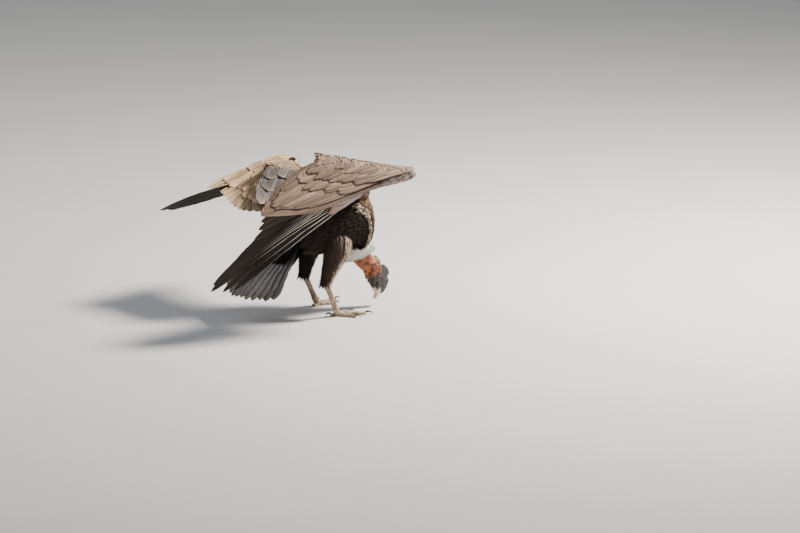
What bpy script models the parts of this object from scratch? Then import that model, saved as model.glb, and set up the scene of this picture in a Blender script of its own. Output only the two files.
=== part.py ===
# Andean condor, an old male bird standing with its head low and both wings half open.
# Life size, in metres. +X is where the bird faces, +Y is its left and +Z is up.
# The floor is z = 0. The points below are measured from the middle of the right sole.
# At the end the bird is moved so that the middle of its outline stands over the origin.
import math
import random

import bmesh
import bpy
import numpy
from mathutils import Vector

GAP = 0.0003            # what two touching pieces keep between them
GROW = 0.00034          # how far a neighbour's faces move out before it cuts, so that GAP is left
TINY = 1e-9             # a face smaller than this has no sure direction
VANE = 0.0009           # thickness of a feather's vane
STACK = 0.0022          # how far each vane lies above the one beside it
QUILL = 0.007           # radius of the bar of quills that a fan of feathers grows from

# Body, from under the tail to the base of the neck. Each row is one ring of it:
# x and z of its upper or front edge, x and z of its lower or back edge, half width, y.
TORSO = (
    (-0.164, 0.286, -0.133, 0.236, 0.040, 0.000),
    (-0.126, 0.366, -0.062, 0.226, 0.088, 0.000),
    (-0.058, 0.450, 0.014, 0.226, 0.122, 0.000),
    (0.048, 0.492, 0.062, 0.222, 0.134, 0.000),
    (0.140, 0.454, 0.080, 0.214, 0.122, -0.004),
    (0.178, 0.376, 0.086, 0.207, 0.100, -0.010),
    (0.182, 0.306, 0.086, 0.202, 0.076, -0.014),
    (0.166, 0.250, 0.086, 0.200, 0.050, -0.018),
)
NECK = (
    (0.122, -0.018, 0.250, 0.046, 0.040, 0.044),
    (0.133, -0.028, 0.212, 0.037, 0.035, 0.038),
    (0.156, -0.041, 0.180, 0.033, 0.032, 0.036),
    (0.178, -0.049, 0.154, 0.031, 0.030, 0.034),
)
RUFF_AT = 0.28          # where along the neck the middle of the ruff lies
RUFF_RADIUS = 0.047     # from the middle of the neck to the middle of the roll of down
RUFF_CORE = 0.012       # half thickness of that roll, under the locks
RUFF_LOCKS = 12         # locks in each of the ruff's rings

# Head: its middle, the way the bill points and the way the crown faces.
HEAD_AT = Vector((0.190, -0.050, 0.125))
HEAD_TO_BILL = Vector((0.12, 0.0, -0.993)).normalized()
HEAD_TO_LEFT = Vector((0.0, 1.0, 0.0))
HEAD_TO_CROWN = HEAD_TO_BILL.cross(HEAD_TO_LEFT).normalized()
EYE_RADIUS = 0.0085
EYE_FORWARD = 0.004
EYE_UP = 0.010
EYE_OUT = 0.0195
LID = 0.0021            # half thickness of the folds round the eye and the ear
MOUTH_GAP = 0.0012      # the line of the mouth, cut into the head behind the bill

# Wings. Each has a shoulder, an elbow, a wrist and the end of its hand.
SHOULDER = {"right": (0.105, -0.085, 0.440), "left": (0.105, 0.085, 0.440)}
ELBOW = {"right": (-0.141, -0.160, 0.605), "left": (-0.080, 0.240, 0.498)}
WRIST = {"right": (0.150, -0.322, 0.553), "left": (0.165, 0.430, 0.458)}
HAND_END = {"right": (0.004, -0.298, 0.520), "left": (0.005, 0.388, 0.428)}
SECONDARIES = 13
PRIMARIES = 10
SECONDARY_TIPS = {
    "right": ((-0.300, -0.225, 0.425), (-0.365, -0.235, 0.452), (-0.405, -0.230, 0.462),
              (-0.420, -0.205, 0.452), (-0.335, -0.160, 0.480)),
    "left": ((-0.257, 0.375, 0.446), (-0.240, 0.310, 0.424), (-0.252, 0.225, 0.374),
             (-0.250, 0.145, 0.364), (-0.215, 0.085, 0.366)),
}
SCAPULARS = 6
SCAPULAR_TIPS = {
    "right": ((-0.110, -0.035, 0.452), (-0.200, -0.080, 0.462), (-0.290, -0.130, 0.478)),
    "left": ((-0.110, 0.035, 0.448), (-0.160, 0.060, 0.430), (-0.200, 0.100, 0.405)),
}
PATAGIUM = 0.012        # half thickness of the web of skin from the shoulder to the wrist
WEB_START = 0.18        # where on the way from the shoulder to the wrist the web's front edge starts
PRIMARY_TIPS = {
    "right": ((-0.391, -0.170, 0.410), (-0.405, -0.140, 0.326), (-0.472, -0.090, 0.236),
              (-0.527, -0.030, 0.158), (-0.430, -0.060, 0.142)),
    "left": ((-0.300, 0.330, 0.392), (-0.400, 0.305, 0.388), (-0.490, 0.266, 0.394),
             (-0.560, 0.222, 0.404), (-0.500, 0.262, 0.410)),
}
PRIMARY_RISE = {"right": (0.028, 0.036), "left": (0.0, 0.0)}   # least arch, and more in the middle
WING_UP = {"right": ((-0.38, -0.78, 0.50), (-0.34, -0.72, 0.60)),
           "left": ((0.05, -0.30, 0.95), (-0.30, -0.38, 0.87))}
HAND_UP = {"right": ((-0.40, -0.84, 0.36), (-0.50, -0.84, 0.20)),
           "left": ((0.0, -0.20, 0.98), (-0.05, -0.15, 0.98))}

# Legs: knee, heel and the point over the sole.
KNEE = {"right": (-0.008, -0.098, 0.262), "left": (0.014, 0.094, 0.262)}
HEEL = {"right": (-0.060, -0.100, 0.134), "left": (-0.028, 0.082, 0.130)}
SOLE = {"right": (0.000, -0.090, 0.000), "left": (0.036, 0.090, 0.000)}
FOOT_TURN = {"right": -22.0, "left": 16.0}
TOE_HEIGHT = 0.012
ANKLE = 0.030           # height at which the leg is parted from the foot
TROUSER_LOCKS = 5       # locks that hang over each heel
TOES = {                # angle from the foot's own direction, length, half width
    "middle": (0.0, 0.112, 0.0105),
    "inner": (34.0, 0.070, 0.0095),
    "outer": (-36.0, 0.078, 0.0090),
    "hind": (168.0, 0.036, 0.0080),
}
CLAW = {"middle": 0.030, "inner": 0.026, "outer": 0.024, "hind": 0.020}

# Tail
TAIL_AT = Vector((-0.146, 0.0, 0.274))
TAIL_PITCH = 38.0
TAIL_SPREAD = 29.0
TAIL_LENGTH = 0.290
TAIL_FEATHERS = 12

COLOURS = {             # colour, roughness
    "body": ((0.055, 0.042, 0.036), 0.75),
    "plumage": ((0.055, 0.042, 0.036), 0.75),
    "wing_pale": ((0.46, 0.38, 0.29), 0.70),
    "flight": ((0.045, 0.036, 0.032), 0.55),
    "tail": ((0.20, 0.175, 0.155), 0.60),
    "ruff": ((0.80, 0.78, 0.73), 0.90),
    "skin": ((0.34, 0.16, 0.09), 0.55),
    "comb": ((0.075, 0.068, 0.070), 0.60),
    "bill": ((0.74, 0.66, 0.50), 0.35),
    "leg": ((0.33, 0.25, 0.18), 0.65),
    "claw": ((0.06, 0.05, 0.045), 0.35),
    "eye": ((0.16, 0.05, 0.025), 0.08),
}

for old in list(bpy.data.objects):
    bpy.data.objects.remove(old)
random.seed(7)
NODES = []              # every finished piece, in the order in which it was made


def material(name):
    made = bpy.data.materials.get(name)
    if made is None:
        colour, roughness = COLOURS[name]
        made = bpy.data.materials.new(name)
        made.use_nodes = True
        shader = made.node_tree.nodes["Principled BSDF"]
        shader.inputs["Base Color"].default_value = (*colour, 1.0)
        shader.inputs["Roughness"].default_value = roughness
        shader.inputs["Metallic"].default_value = 0.0
    return made


def along(points, t):
    """The point at t, from 0 to 1, on a smooth curve through the points."""
    spans = len(points) - 1
    place = min(max(t, 0.0), 1.0) * spans
    i = min(int(place), spans - 1)
    u = place - i
    a, b = points[max(i - 1, 0)], points[i]
    c, d = points[i + 1], points[min(i + 2, spans)]
    result = []
    for p, q, r, s in zip(a, b, c, d):
        bend = (2 * p - 5 * q + 4 * r - s) * u * u + (3 * q - 3 * r + s - p) * u ** 3
        result.append(0.5 * (2 * q + (r - p) * u + bend))
    return result


def object_of(bm, name, colour):
    bmesh.ops.recalc_face_normals(bm, faces=bm.faces)
    if bm.calc_volume(signed=True) < 0.0:
        bmesh.ops.reverse_faces(bm, faces=bm.faces)
    mesh = bpy.data.meshes.new(name)
    bm.to_mesh(mesh)
    bm.free()
    made = bpy.data.objects.new(name, mesh)
    mesh.materials.append(material(colour))
    bpy.context.scene.collection.objects.link(made)
    return made


def wrapped(name, colour, around, rings, point):
    """A closed form: a grid rolled into a tube, whose ends are drawn to a point.
    point(t, angle) gives the place on ring t, from 0 to 1, at that angle."""
    bm = bmesh.new()
    bmesh.ops.create_grid(bm, x_segments=around, y_segments=rings, size=0.5)
    for vert in bm.verts:
        angle = (vert.co.x + 0.5) * math.tau
        vert.co = point(vert.co.y + 0.5, angle)
    bmesh.ops.remove_doubles(bm, verts=bm.verts, dist=0.00002)
    return object_of(bm, name, colour)


def tube(name, colour, stations, around, rings, side=(0.0, 1.0, 0.0), grow=0.0, blunt=0.16):
    """A limb or trunk through stations of x, y, z, half width, reach up and reach down."""
    side = Vector(side)

    def point(t, angle):
        inner = (t - 0.5) * (1.0 + 1e-9) + 0.5
        x, y, z, wide, high, low = along(stations, inner)
        ahead = Vector(along(stations, min(inner + 0.01, 1.0))[:3])
        behind = Vector(along(stations, max(inner - 0.01, 0.0))[:3])
        way = (ahead - behind).normalized()
        left = (side - way * side.dot(way)).normalized()
        top = way.cross(left)
        end = min(t, 1.0 - t) / blunt
        shrink = math.sqrt(max(0.0, 1.0 - (1.0 - min(end, 1.0)) ** 2))
        reach = high if math.sin(angle) > 0 else low
        out = left * math.cos(angle) * (wide + grow) + top * math.sin(angle) * (reach + grow)
        lean = way * grow * (0.0 if 0.0 < t < 1.0 else (1.0 if t >= 1.0 else -1.0))
        return Vector((x, y, z)) + out * shrink + lean

    return wrapped(name, colour, around, rings, point)


def trunk(name, colour, rings, around, count, grow=0.0, blunt=0.10):
    """A trunk whose rings are told by their upper edge, their lower edge and half width."""
    def point(t, angle):
        high_x, high_z, low_x, low_z, wide, y = along(rings, t)
        high, low = Vector((high_x, y, high_z)), Vector((low_x, y, low_z))
        reach = (high - low) * 0.5
        end = min(min(t, 1.0 - t) / blunt, 1.0)
        shrink = math.sqrt(max(0.0, 1.0 - (1.0 - end) ** 2))
        wide = Vector((0.0, wide + grow, 0.0))
        reach = reach * (1.0 + grow / reach.length)
        return (high + low) * 0.5 + (wide * math.cos(angle) + reach * math.sin(angle)) * shrink

    return wrapped(name, colour, around, count, point)


class Feather:
    """One vane: where it is rooted, where its tip lies, how it arches and how wide it is.
    lift tells how far it lies above the sheet that its fan follows."""

    def __init__(self, root, tip, width, arch=(0.0, 0.0, 0.0), lift=0.0, pointed=0.4):
        self.root = Vector(root)
        self.tip = Vector(tip)
        self.width = width
        self.arch = Vector(arch)
        self.lift = lift
        self.pointed = pointed

    def centre(self, t):
        return self.root.lerp(self.tip, t) + self.arch * (4.0 * t * (1.0 - t))

    def way(self, t):
        return (self.centre(min(t + 0.02, 1.0)) - self.centre(max(t - 0.02, 0.0))).normalized()

    def half_width(self, t):
        base = 0.22 + 0.78 * min(t / 0.3, 1.0) ** 0.7
        start = 1.0 - self.pointed
        end = 1.0
        if t > start:
            end = math.sqrt(max(0.0, 1.0 - ((t - start) / self.pointed) ** 2.4))
        return 0.5 * self.width * base * max(end, 0.10)


class Sheet:
    """The surface that a fan lies on, as a height over the plane that fits its feathers best."""

    REACH = 0.30       # over this distance the surface is smoothed

    def __init__(self, feathers, hint):
        spots = [feather.centre(t / 8.0) for feather in feathers for t in range(9)]
        self.spots = numpy.array([tuple(spot) for spot in spots])
        self.middle = self.spots.mean(axis=0)
        axes = numpy.linalg.svd(self.spots - self.middle)[2]
        self.axes = axes
        self.up = Vector(axes[2])
        if self.up.dot(Vector(hint)) < 0:
            self.up = -self.up
        flat = (self.spots - self.middle) @ axes[:2].T
        self.flat = numpy.column_stack([numpy.ones(len(flat)), flat])
        self.high = (self.spots - self.middle) @ numpy.array(self.up)

    def on(self, place, lift):
        """The place moved along up until it lies lift above the surface."""
        offset = numpy.array(place) - self.middle
        spot = self.axes[:2] @ offset
        away = ((self.flat[:, 1:] - spot) ** 2).sum(axis=1)
        weight = numpy.exp(-(away - away.min()) / (2.0 * self.REACH ** 2))
        plane = numpy.linalg.lstsq(self.flat * weight[:, None], self.high * weight, rcond=1e-4)[0]
        wanted = plane[0] + plane[1] * spot[0] + plane[2] * spot[1] + lift
        return Vector(place) + self.up * float(wanted - offset @ numpy.array(self.up))


def plate(feather, up, rows, thickness, on):
    """A flat tapered plate along a feather, split alike on both of its faces."""
    bm = bmesh.new()
    bmesh.ops.create_grid(bm, x_segments=1, y_segments=rows, size=0.5)
    bmesh.ops.triangulate(bm, faces=bm.faces)
    lower = bmesh.ops.duplicate(bm, geom=bm.verts[:] + bm.edges[:] + bm.faces[:])["geom"]
    lower = set(part for part in lower if isinstance(part, bmesh.types.BMVert))
    for vert in bm.verts:
        step = 1.0 - (0.5 - vert.co.y) ** 1.25
        side = feather.way(step).cross(up).normalized()
        place = feather.centre(step) + side * (math.copysign(1.0, vert.co.x) * feather.half_width(step))
        vert.co = on(place, feather.lift + thickness * (-0.5 if vert in lower else 0.5))
    rims = [edge for edge in bm.edges if edge.is_boundary]
    bmesh.ops.bridge_loops(bm, edges=rims)
    bmesh.ops.triangulate(bm, faces=bm.faces)
    return object_of(bm, "vane", "flight")


def vane(feather, sheet, rows=5):
    return plate(feather, sheet.up, rows, VANE, sheet.on)


def lock(feather, out, rows=3, thickness=0.0022):
    return plate(feather, out, rows, thickness, lambda place, lift: place + out * lift)


def bar(points, radius, sides=5, rings=3):
    """The bar of quills and skin that a fan grows from, through the roots of its feathers."""
    stations = [(*point, radius, radius, radius) for point in points]
    return tube("bar", "flight", stations, sides, rings, side=(0.3, 0.5, 0.8), blunt=0.10)


def with_modifier(target, pieces, operation):
    """The mesh of target joined with the pieces, or cut by them. The pieces are used up."""
    group = bpy.data.collections.new("pieces")
    bpy.context.scene.collection.children.link(group)
    for piece in pieces:
        group.objects.link(piece)
    step = target.modifiers.new("join", "BOOLEAN")
    step.operation = operation
    step.operand_type = "COLLECTION"
    step.collection = group
    step.solver = "MANIFOLD"
    bpy.context.view_layer.update()
    evaluated = target.evaluated_get(bpy.context.evaluated_depsgraph_get())
    result = bpy.data.meshes.new_from_object(evaluated)
    target.modifiers.remove(step)
    target.data = result
    for piece in pieces:
        bpy.data.objects.remove(piece)
    bpy.data.collections.remove(group)


def keep_largest(target):
    """Drop every loose scrap and every inner surface, so that one closed surface is left."""
    bm = bmesh.new()
    bm.from_mesh(target.data)
    bmesh.ops.triangulate(bm, faces=bm.faces)
    groups = []
    seen = set()
    for first in bm.faces:
        if first in seen:
            continue
        group = [first]
        seen.add(first)
        for face in group:
            for edge in face.edges:
                for other in edge.link_faces:
                    if other not in seen:
                        seen.add(other)
                        group.append(other)
        low = [min(v.co[k] for f in group for v in f.verts) for k in range(3)]
        high = [max(v.co[k] for f in group for v in f.verts) for k in range(3)]
        groups.append(((Vector(high) - Vector(low)).length, group))
    groups.sort(key=lambda entry: entry[0])
    scraps = [face for _, group in groups[:-1] for face in group]
    bmesh.ops.delete(bm, geom=scraps, context="FACES")
    bm.to_mesh(target.data)
    bm.free()


def grown(node):
    """A copy of a node, a little larger all round, to cut its neighbour with."""
    bm = bmesh.new()
    bm.from_mesh(node.data)
    moves = []
    for vert in bm.verts:
        ways = [face.normal for face in vert.link_faces if face.calc_area() > TINY]
        move = Vector()
        for _ in range(4):
            for way in ways:
                short = GROW - move.dot(way)
                if short > 0.0:
                    move += way * short
        if move.length > 3.0 * GROW:
            move *= 3.0 * GROW / move.length
        moves.append(move)
    for vert, move in zip(bm.verts, moves):
        vert.co += move
    mesh = bpy.data.meshes.new("grown")
    bm.to_mesh(mesh)
    bm.free()
    copy = bpy.data.objects.new("grown", mesh)
    bpy.context.scene.collection.objects.link(copy)
    return copy


def box_of(node):
    corners = [vert.co for vert in node.data.vertices]
    low = Vector([min(c[k] for c in corners) for k in range(3)])
    high = Vector([max(c[k] for c in corners) for k in range(3)])
    return low, high


def near(a, b):
    (low_a, high_a), (low_b, high_b) = box_of(a), box_of(b)
    return all(low_a[k] < high_b[k] + GROW and low_b[k] < high_a[k] + GROW for k in range(3))


def finish(node, name, colour, pieces=()):
    """Join the pieces to a node, clear it of every earlier node and give it its name."""
    if pieces:
        with_modifier(node, list(pieces), "UNION")
    cutters = [grown(other) for other in NODES if near(node, other)]
    for cutter in cutters:
        with_modifier(node, [cutter], "DIFFERENCE")
    keep_largest(node)
    node.name = name
    node.data.name = name
    node.data.materials.clear()
    node.data.materials.append(material(colour))
    node.data.shade_smooth()
    node.data.set_sharp_from_angle(angle=math.radians(40.0))
    NODES.append(node)
    return node


def rooted(feathers, sheet, radius=QUILL, rows=5):
    """The vanes of a fan and the bar of quills that they grow from, ready to be joined."""
    roots = [sheet.on(feather.centre(0.0), feather.lift) for feather in feathers]
    before = roots[0].lerp(roots[1], -0.5)
    after = roots[-1].lerp(roots[-2], -0.5)
    return [bar([before] + roots + [after], radius)] + [vane(feather, sheet, rows) for feather in feathers]


def fan(count, roots, tips, width, arch, pointed=0.35):
    """Feathers side by side. Each lies STACK above the one before it."""
    feathers = []
    for i in range(count):
        s = i / (count - 1)
        feathers.append(Feather(along(roots, s), along(tips, s), width(s), arch(s), STACK * i, pointed))
    return feathers


def over(feathers, count, start, end, lift, width, pointed=0.45, first=0.0, last=1.0):
    """A shorter tier that lies over a fan, from start to end of its length, lift above it."""
    tier = []
    for i in range(count):
        spot = (first + (last - first) * i / (count - 1)) * (len(feathers) - 1)
        k = min(int(spot), len(feathers) - 2)
        a, b, share = feathers[k], feathers[k + 1], spot - k
        root = a.centre(start).lerp(b.centre(start), share)
        tip = a.centre(end).lerp(b.centre(end), share)
        half = 0.5 * (start + end)
        bend = a.centre(half).lerp(b.centre(half), share) - root.lerp(tip, 0.5)
        rise = a.lift + (b.lift - a.lift) * share + lift
        tier.append(Feather(root, tip, width, bend, rise, pointed))
    return tier


# The body
torso = trunk("torso", "body", TORSO, 22, 17)
finish(torso, "torso", "body")
neck = tube("neck", "skin", NECK, 16, 13, blunt=0.05)
finish(neck, "neck", "skin")


# The head and its parts
def head_point(forward, up, left=0.0):
    """A place on the head, told by how far it lies towards the bill, the crown and the left."""
    return HEAD_AT + HEAD_TO_BILL * forward + HEAD_TO_CROWN * up + HEAD_TO_LEFT * left


def head_stations(rows):
    """Stations of a tube along the head: forward, up, half width, reach up, reach down."""
    return [(*head_point(forward, up), wide, high, low) for forward, up, wide, high, low in rows]


SKULL = head_stations((
    (-0.045, -0.004, 0.024, 0.024, 0.026),
    (-0.028, 0.000, 0.029, 0.028, 0.028),
    (-0.005, 0.003, 0.029, 0.027, 0.026),
    (0.018, 0.003, 0.023, 0.022, 0.023),
    (0.036, 0.002, 0.017, 0.018, 0.017),
))
BILL_UPPER = head_stations((
    (0.030, 0.006, 0.0150, 0.0150, 0.0085),
    (0.050, 0.008, 0.0125, 0.0130, 0.0110),
    (0.068, 0.008, 0.0105, 0.0110, 0.0120),
    (0.082, 0.002, 0.0080, 0.0090, 0.0080),
    (0.0885, -0.008, 0.0048, 0.0055, 0.0050),
    (0.0890, -0.017, 0.0014, 0.0016, 0.0016),
))
BILL_LOWER = head_stations((
    (0.028, -0.011, 0.0130, 0.0050, 0.0070),
    (0.050, -0.0105, 0.0108, 0.0050, 0.0065),
    (0.066, -0.0100, 0.0085, 0.0050, 0.0050),
    (0.0745, -0.0085, 0.0040, 0.0030, 0.0030),
))
for turn, label in ((1.0, "left"), (-1.0, "right")):
    bm = bmesh.new()
    bmesh.ops.create_icosphere(bm, subdivisions=2, radius=EYE_RADIUS)
    bmesh.ops.translate(bm, verts=bm.verts, vec=head_point(EYE_FORWARD, EYE_UP, turn * EYE_OUT))
    finish(object_of(bm, "eye_" + label, "eye"), "eye_" + label, "eye")


def hoop(middle, radius, thick, tall=1.0):
    """A fold of skin round an opening in the side of the head."""
    outward = HEAD_TO_LEFT * math.copysign(1.0, middle.y - HEAD_AT.y)
    bm = bmesh.new()
    bmesh.ops.create_grid(bm, x_segments=9, y_segments=4, size=0.5)
    for vert in bm.verts:
        turn, roll = (vert.co.x + 0.5) * math.tau, (vert.co.y + 0.5) * math.tau
        away = radius + thick * math.cos(roll)
        flat = HEAD_TO_BILL * (math.cos(turn) * away) + HEAD_TO_CROWN * (math.sin(turn) * away * tall)
        vert.co = middle + flat + outward * (thick * math.sin(roll))
    bmesh.ops.remove_doubles(bm, verts=bm.verts, dist=0.00002)
    return object_of(bm, "hoop", "skin")


def bulb(middle, size, colour="skin"):
    """A rounded lump of skin, or the form of a pit, half the size given as forward, left, up."""
    bm = bmesh.new()
    bmesh.ops.create_icosphere(bm, subdivisions=1, radius=1.0)
    for vert in bm.verts:
        vert.co = (middle + HEAD_TO_BILL * (vert.co.x * size[0]) + HEAD_TO_LEFT * (vert.co.y * size[1])
                   + HEAD_TO_CROWN * (vert.co.z * size[2]))
    return object_of(bm, "bulb", colour)


bill_upper = tube("bill_upper", "bill", BILL_UPPER, 14, 10)
nostrils = [bulb(head_point(0.044, 0.013, turn * 0.0145), (0.0048, 0.0040, 0.0022)) for turn in (1.0, -1.0)]
with_modifier(bill_upper, nostrils, "DIFFERENCE")
finish(bill_upper, "bill_upper", "bill")
bill_lower = tube("bill_lower", "bill", BILL_LOWER, 12, 7)
finish(bill_lower, "bill_lower", "bill")
head = tube("head", "skin", SKULL, 18, 11)
folds = [hoop(head_point(EYE_FORWARD, EYE_UP, turn * (EYE_OUT + 0.0045)), 0.0078, LID, 0.85)
         for turn in (1.0, -1.0)]
folds += [hoop(head_point(-0.021, -0.004, turn * 0.0265), 0.0052, LID * 0.8) for turn in (1.0, -1.0)]
for forward, up, size in ((0.020, -0.022, 0.010), (0.002, -0.029, 0.012), (-0.016, -0.032, 0.0125)):
    folds.append(bulb(head_point(forward, up), (size, size * 0.72, size)))
with_modifier(head, folds, "UNION")
pits = [bulb(head_point(-0.021, -0.004, turn * 0.0290), (0.0036, 0.0050, 0.0036)) for turn in (1.0, -1.0)]
mouth = bmesh.new()
bmesh.ops.create_cube(mouth, size=1.0)
for vert in mouth.verts:
    vert.co = head_point(0.030 + 0.034 * vert.co.x, -0.0045 + MOUTH_GAP * vert.co.z, 0.060 * vert.co.y)
with_modifier(head, pits + [object_of(mouth, "mouth", "skin")], "DIFFERENCE")
finish(head, "head", "skin")


def comb_point(t, angle):
    """The fleshy comb over the brow and bill: a thin lobed plate, thick at its foot."""
    forward = -0.026 + 0.108 * t
    high = 0.012 + 0.040 * math.sin(math.pi * min(t, 1.0) ** 0.85) ** 0.8
    thick = 0.0085 * math.sin(math.pi * min(max(t, 0.0), 1.0)) ** 0.35
    foot = 0.030 - 0.012 * t
    rise = math.sin(angle)
    up = foot + high * rise * (0.5 if rise < 0 else 0.85)
    return head_point(forward, up, thick * math.cos(angle) * (1.0 - 0.35 * max(rise, 0.0)))


finish(wrapped("comb", "comb", 12, 10, comb_point), "comb", "comb")

# The ruff: a ring of down round the base of the neck, under locks that lie towards the back
ruff_centre = Vector(along(NECK, RUFF_AT)[:3])
ruff_way = (Vector(along(NECK, 0.3)[:3]) - Vector(along(NECK, 0.0)[:3])).normalized()
ruff_left = (Vector((0.0, 1.0, 0.0)) - ruff_way * ruff_way.y).normalized()
ruff_front = ruff_way.cross(ruff_left)


def ring_place(angle, radius, down):
    out = ruff_left * math.cos(angle) + ruff_front * math.sin(angle)
    return ruff_centre + out * radius + ruff_way * down


bm = bmesh.new()
bmesh.ops.create_grid(bm, x_segments=20, y_segments=6, size=0.5)
for vert in bm.verts:
    angle = (vert.co.x + 0.5) * math.tau
    turn = (vert.co.y + 0.5) * math.tau
    vert.co = ring_place(angle, RUFF_RADIUS + RUFF_CORE * math.cos(turn), 0.019 * math.sin(turn))
bmesh.ops.remove_doubles(bm, verts=bm.verts, dist=0.00002)
ruff = object_of(bm, "ruff", "ruff")
locks = []
for ring in range(2):
    for i in range(RUFF_LOCKS):
        angle = (i + 0.5 * ring) / RUFF_LOCKS * math.tau
        long = 0.034 + random.uniform(-0.004, 0.004)
        start = ring_place(angle, RUFF_RADIUS + 0.005, 0.014 - 0.014 * ring)
        end = ring_place(angle, RUFF_RADIUS + 0.017 + 0.006 * ring, 0.014 - 0.012 * ring - long)
        out = (ring_place(angle, 1.0, 0.0) - ring_place(angle, 0.0, 0.0)).normalized()
        locks.append(lock(Feather(start, end, 0.0240, out * 0.004, 0.0, 0.75), out, 2))
finish(ruff, "ruff", "ruff", locks)

# The tail
pitch = math.radians(TAIL_PITCH)
tail_way = Vector((-math.cos(pitch), 0.0, -math.sin(pitch)))
tail_up = Vector((-math.sin(pitch), 0.0, math.cos(pitch)))
tail_left = Vector((0.0, 1.0, 0.0))
tail_vanes = []
for i in range(TAIL_FEATHERS):
    s = (i + 0.5) / TAIL_FEATHERS * 2.0 - 1.0
    turn = math.radians(TAIL_SPREAD) * s
    way = tail_way * math.cos(turn) + tail_left * math.sin(turn)
    long = TAIL_LENGTH * (1.0 - 0.10 * s * s)
    rank = TAIL_FEATHERS / 2 - abs(i + 0.5 - TAIL_FEATHERS / 2) - (0.5 if s > 0 else 0.0)
    root = TAIL_AT + tail_left * (0.034 * s)
    sag = tail_up * (-0.016 * s * s)
    tail_vanes.append(Feather(root + sag, root + sag + way * long, 0.058, tail_up * 0.012,
                              STACK * rank, 0.22))
tail_sheet = Sheet(tail_vanes, tail_up)
finish(bar([TAIL_AT + tail_left * (0.046 * s) + tail_up * (0.004 - 0.014 * s * s)
            + tail_way * 0.004 for s in (-1.0, -0.5, 0.0, 0.5, 1.0)], 0.015), "tail_feathers", "tail",
       [vane(feather, tail_sheet, 4) for feather in tail_vanes])
upper = over(tail_vanes, 6, 0.0, 0.36, 0.0135, 0.052, first=0.12, last=0.88)
pieces = rooted(upper, tail_sheet, rows=2)
finish(pieces[0], "tail_coverts_upper", "plumage", pieces[1:])
under = over(tail_vanes, 5, 0.0, 0.42, 0.0, 0.058, first=0.14, last=0.86)
for place, feather in enumerate(under):
    feather.lift = -0.0105 - STACK * (2 - abs(place - 2) - (0.5 if place > 2 else 0.0))
pieces = rooted(under, tail_sheet, rows=2)
finish(pieces[0], "tail_coverts_under", "plumage", pieces[1:])


# The wings
def web(shoulder, elbow, wrist):
    """The web of skin before the forearm, which narrows from the shoulder to the wrist."""
    up = (shoulder - elbow).cross(wrist - elbow).normalized()

    def point(t, angle):
        front, back = shoulder.lerp(wrist, WEB_START + (1.0 - WEB_START) * t), elbow.lerp(wrist, t)
        middle = front.lerp(back, 0.5)
        half = (front - back) * 0.5 + (shoulder - elbow).normalized() * 0.014
        end = min(min(t, 1.0 - t) / 0.12, 1.0)
        thick = PATAGIUM * math.sqrt(max(0.0, 1.0 - (1.0 - end) ** 2))
        return middle + half * math.cos(angle) * (0.2 + 0.8 * end) + up * (thick * math.sin(angle))

    return wrapped("web", "plumage", 12, 8, point)


def bone(a, b, thick, thin, side):
    rows = [(*a.lerp(b, t), *([thick + (thin - thick) * t] * 3)) for t in (0.0, 0.35, 0.7, 1.0)]
    return tube("bone", "plumage", rows, 10, 6, side=side, blunt=0.12)


def wing(side):
    shoulder, elbow = Vector(SHOULDER[side]), Vector(ELBOW[side])
    wrist, hand_end = Vector(WRIST[side]), Vector(HAND_END[side])
    up_out, up_in = (Vector(v).normalized() for v in WING_UP[side])
    hand_up = [Vector(v).normalized() for v in HAND_UP[side]]

    # The forearm carries the secondaries under two tiers of coverts
    trailing = (Vector(SECONDARY_TIPS[side][2]) - wrist.lerp(elbow, 0.5)).normalized()
    roots = [wrist.lerp(elbow, t) + trailing * 0.014 + up_out.lerp(up_in, t) * 0.010
             for t in (0.12, 0.5, 0.94)]
    flight = fan(SECONDARIES, roots, SECONDARY_TIPS[side], lambda s: 0.064 - 0.008 * s,
                 lambda s: up_out.lerp(up_in, s) * 0.010)
    sheet = Sheet(flight, up_in)
    pieces = rooted(flight, sheet, rows=4)
    pieces += rooted(over(flight, 8, 0.015, 0.56, 0.0105, 0.066), sheet, rows=3)
    pieces += rooted(over(flight, 7, 0.020, 0.30, 0.0205, 0.062), sheet, rows=2)
    pieces.append(web(shoulder, elbow, wrist))
    finish(bone(elbow, wrist, 0.022, 0.017, up_out), "forearm_" + side, "wing_pale", pieces)

    # The hand carries the primaries under one tier of coverts
    low = STACK * (PRIMARIES - 1)
    hand_roots = [wrist.lerp(hand_end, t) - hand_up[0] * (0.022 + low * (1.0 - t))
                  for t in (0.16, 0.5, 0.94)]
    rise, more = PRIMARY_RISE[side]
    long = fan(PRIMARIES, hand_roots[::-1], PRIMARY_TIPS[side][::-1], lambda s: 0.050 + 0.012 * s,
               lambda s: Vector((0, 0, rise + more * math.sin(math.pi * s))), 0.45)
    sheet = Sheet(long, hand_up[1])
    pieces = rooted(long, sheet, QUILL + 0.001, rows=4)
    pieces += rooted(over(long, 6, 0.012, 0.24, 0.0125, 0.046), sheet, rows=2)
    finish(bone(wrist, hand_end, 0.017, 0.008, up_out), "hand_" + side, "flight", pieces)

    # The upper arm carries the scapulars, which close the gap to the back
    roots = [shoulder.lerp(elbow, t) + up_in * 0.020 for t in (0.10, 0.5, 0.92)]
    inner = fan(SCAPULARS, roots[::-1], SCAPULAR_TIPS[side][::-1], lambda s: 0.070, lambda s: up_in * 0.010)
    pieces = rooted(inner, Sheet(inner, up_in), rows=2)
    finish(bone(shoulder, elbow.lerp(shoulder, 0.06), 0.040, 0.022, up_out), "upper_arm_" + side,
           "plumage", pieces)


for side in ("right", "left"):
    wing(side)


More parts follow.
